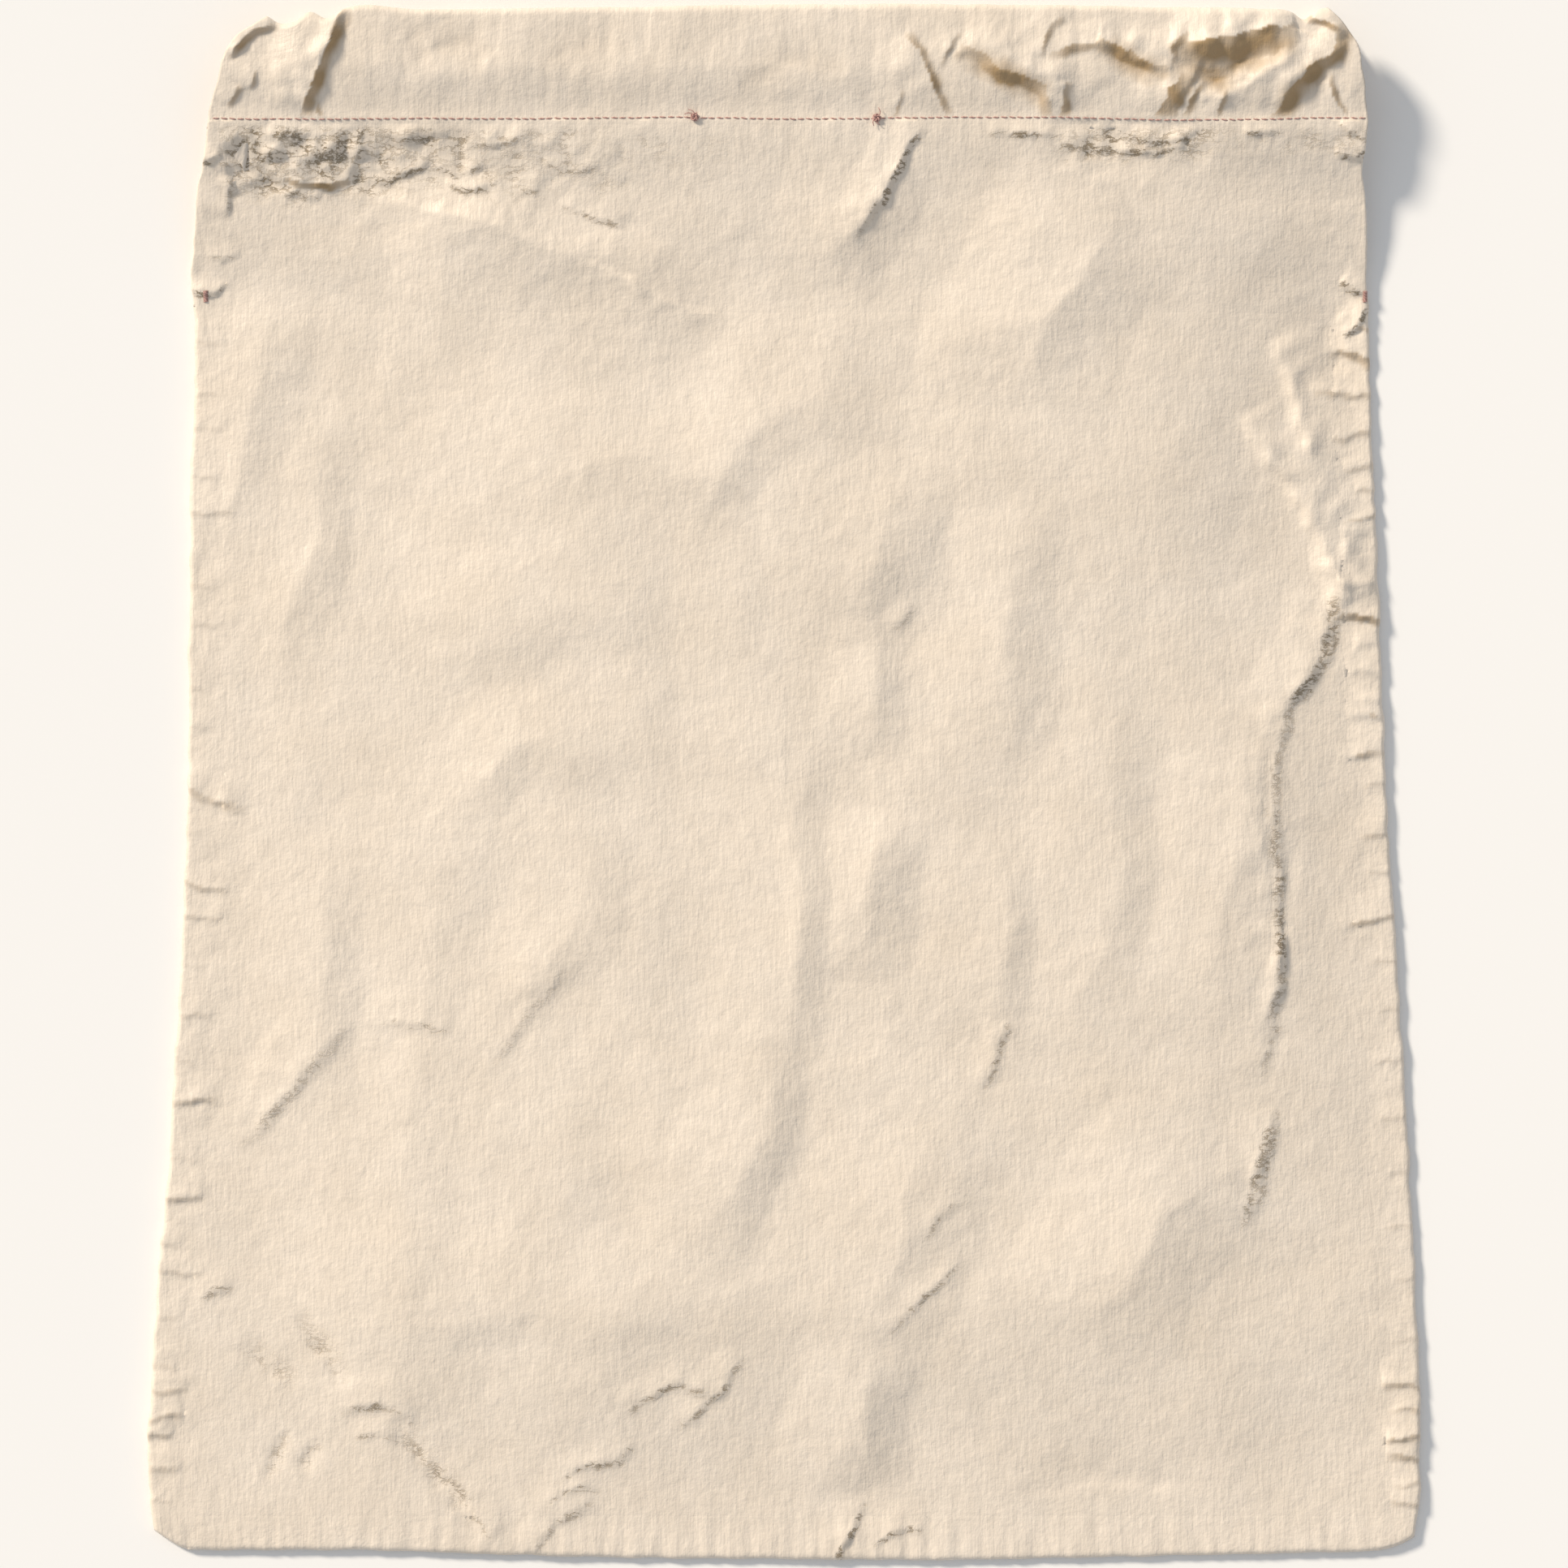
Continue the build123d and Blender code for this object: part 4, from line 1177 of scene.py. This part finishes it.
def front_row_surface(x, y):
    """Height of the front casing's upper ply along the row."""
    z = casing_low[2] + HELD + casing_relief(x, y)[0] + PUFF * puffed(y)
    return z + pressed_down(y) * (front_height(x, y)[0] - z)


rose_thread = sewing_thread("rose_brown_polyester_thread", "#C49C92", "#A0766D")
front_row = stitch_row(
    "front_stitch_row", front_row_surface, lambda x, y: casing_low[2] + 0 * x, FRONT_SEED
)
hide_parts("front_casing_thread")
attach(front_row, "front_lip")
back_row = stitch_row(
    "back_stitch_row", lambda x, y: HELD + 0 * x, lambda x, y: back_lift(x, y) + 0.1, BACK_SEED
)
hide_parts("back_casing_thread")
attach(back_row, "mouth_end")

# ---- Back-tack knots ----------------------------------------------------------------
# Two small tangles in the front row, where the seamstress sewed to and fro over the ends
# of the label: turns of the same thread in a ball, with the cut tails sticking out.
KNOT_STEPS = 61  # points along the ball's thread
BALL = 0.62  # mm, radius of the ring that the turns go round
KNOT_THREAD = 0.21  # mm, radius of the thread in the ball
TAIL_THREAD = 0.17  # mm, radius of a tail where it leaves the ball
TAIL_STEPS = 9  # points along each tail
# how far each tail reaches across and up the bag, and how high it lifts, in mm
TAILS = {
    "left": [(-1.6, 1.9, 0.5), (-2.6, 0.7, 0.4), (0.5, 1.3, 0.6)],
    "right": [(0.5, 2.6, 0.6), (-0.7, -2.1, 0.4), (0.9, -1.8, 0.3)],
}
for hand in ("left", "right"):
    low, high = (np.array(corner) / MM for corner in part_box(f"{hand}_back_tack"))
    at = (low + high) / 2
    centre = np.array([at[0], float(row_line(at[:1], FRONT_SEED)[0]) + 0.1, low[2] + BALL])
    # the turns go three times round the ring while they wind five times about it
    turn = np.linspace(0, 2 * math.pi, KNOT_STEPS)
    ring = BALL + 0.34 * np.cos(5 * turn)
    ball = np.stack(
        [ring * np.cos(3 * turn), ring * np.sin(3 * turn), 0.42 * np.sin(5 * turn)], axis=1
    )
    ball = thread_piece(
        f"{hand}_knot", (centre + ball)[None], np.full((1, KNOT_STEPS), KNOT_THREAD), rose_thread
    )
    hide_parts(f"{hand}_back_tack")
    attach(ball, "front_lip")
    share = np.linspace(0, 1, TAIL_STEPS)[:, None]
    tails = np.stack(
        [
            centre
            + share * np.array([reach_x, reach_y, 0.0])
            + np.array([0.25 * reach_y, -0.25 * reach_x, 0.0]) * np.sin(math.pi * share)
            + np.array([0.0, 0.0, lift]) * np.sin(2.2 * share)
            for reach_x, reach_y, lift in TAILS[hand]
        ]
    )
    thick = TAIL_THREAD * (1 - 0.35 * share[:, 0]) + np.zeros((len(tails), 1))
    tails = thread_piece(f"{hand}_knot_tails", tails, thick, rose_thread)
    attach(tails, "front_lip")

# ---- Bar tacks ----------------------------------------------------------------------
# A short bar of close zigzag stitches across the end of each side seam, so that the slit
# doesn't tear further down.
PASSES = 17  # times that the thread crosses the bar
TACK_THREAD = 0.13  # mm, radius of its thread
INSET = 0.2  # mm from the edge of the bar's place to the thread's middle
ARCH = 0.3  # mm by which each pass stands over the cloth
for side, hand in ((-1, "left"), (1, "right")):
    low, high = (np.array(corner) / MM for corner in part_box(f"{hand}_bar_tack"))
    low[:2] += INSET
    high[:2] -= INSET
    crossing = np.arange(PASSES) % 2
    y = np.linspace(low[1], high[1], PASSES)
    start = np.where(crossing, high[0], low[0])
    end = np.where(crossing, low[0], high[0])
    share = np.linspace(0, 1, 7)[None, :]
    x = start[:, None] + (end - start)[:, None] * share
    y = y[:, None] + (y[1] - y[0]) * share
    z = front_height(x, y)[0] + ARCH * np.sin(math.pi * share)
    path = np.dstack([x, y, z])
    tack = thread_piece(f"{hand}_slit_tack", path, TACK_THREAD + 0 * x, rose_thread)
    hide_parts(f"{hand}_bar_tack")
    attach(tack, "mouth_end")

# ---- Label --------------------------------------------------------------------------
# A blank label of woven satin tape, caught in the front row between the two knots and
# hanging inside the mouth. It shows only when the mouth is opened.
LABEL_GAP = 0.2  # mm between the lip cloth and the label
LABEL_STEP = 0.7  # mm between its points
TAPE = 0.35  # mm, thickness of the tape
CAUGHT = 0.4  # mm of the tape that runs on into the stitch row


def satin_tape(name):
    """Polyester satin tape, woven in fine cross ribs: smooth, with a brighter gloss than the
    cloth. The ribs are drawn at twice their real pitch so that they can be seen."""
    made, tree = new_material(name)
    flat = node(tree, "ShaderNodeUVMap", {"uv_map": "flat"}).outputs[0]
    rib_pitch = 0.5  # mm from rib to rib
    ribs = node(
        tree,
        "ShaderNodeTexWave",
        {"Scale": BAND / (rib_pitch * MM), "Distortion": 0.6, "bands_direction": "Y"},
        {"Vector": flat},
    )
    tone = node(
        tree,
        "ShaderNodeMix",
        {"data_type": "RGBA", 6: linear("#DCD3C2"), 7: linear("#F0E9DC")},
        {0: ribs.outputs["Fac"]},
    )
    bump = node(
        tree, "ShaderNodeBump", {"Strength": 0.5, "Distance": 0.06 * MM}, {2: ribs.outputs["Fac"]}
    )
    shader = node(
        tree,
        "ShaderNodeBsdfPrincipled",
        {"Roughness": 0.38, "Sheen Weight": 0.2, "Specular IOR Level": 0.5},
        {"Base Color": tone.outputs[2], "Normal": bump.outputs[0]},
    )
    node(tree, "ShaderNodeOutputMaterial", links={"Surface": shader.outputs[0]})
    return made


low, high = (np.array(corner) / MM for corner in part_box("woven_label"))
y = spaced(low[1], high[1] + CAUGHT, LABEL_STEP)[:, None]
x = spaced(low[0], high[0], LABEL_STEP)[None, ::-1]
x, y = x + 0 * y, y + 0 * x
surface = front_height(x, y)[0]
label = cloth_piece(
    "woven_tape_label",
    np.dstack([x, y, surface - PLY - LABEL_GAP - TAPE]),
    np.dstack([x, y]),
    0 * x,
    satin_tape("woven_satin_tape"),
    ply=TAPE,
)
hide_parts("woven_label")
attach(label, "front_lip")
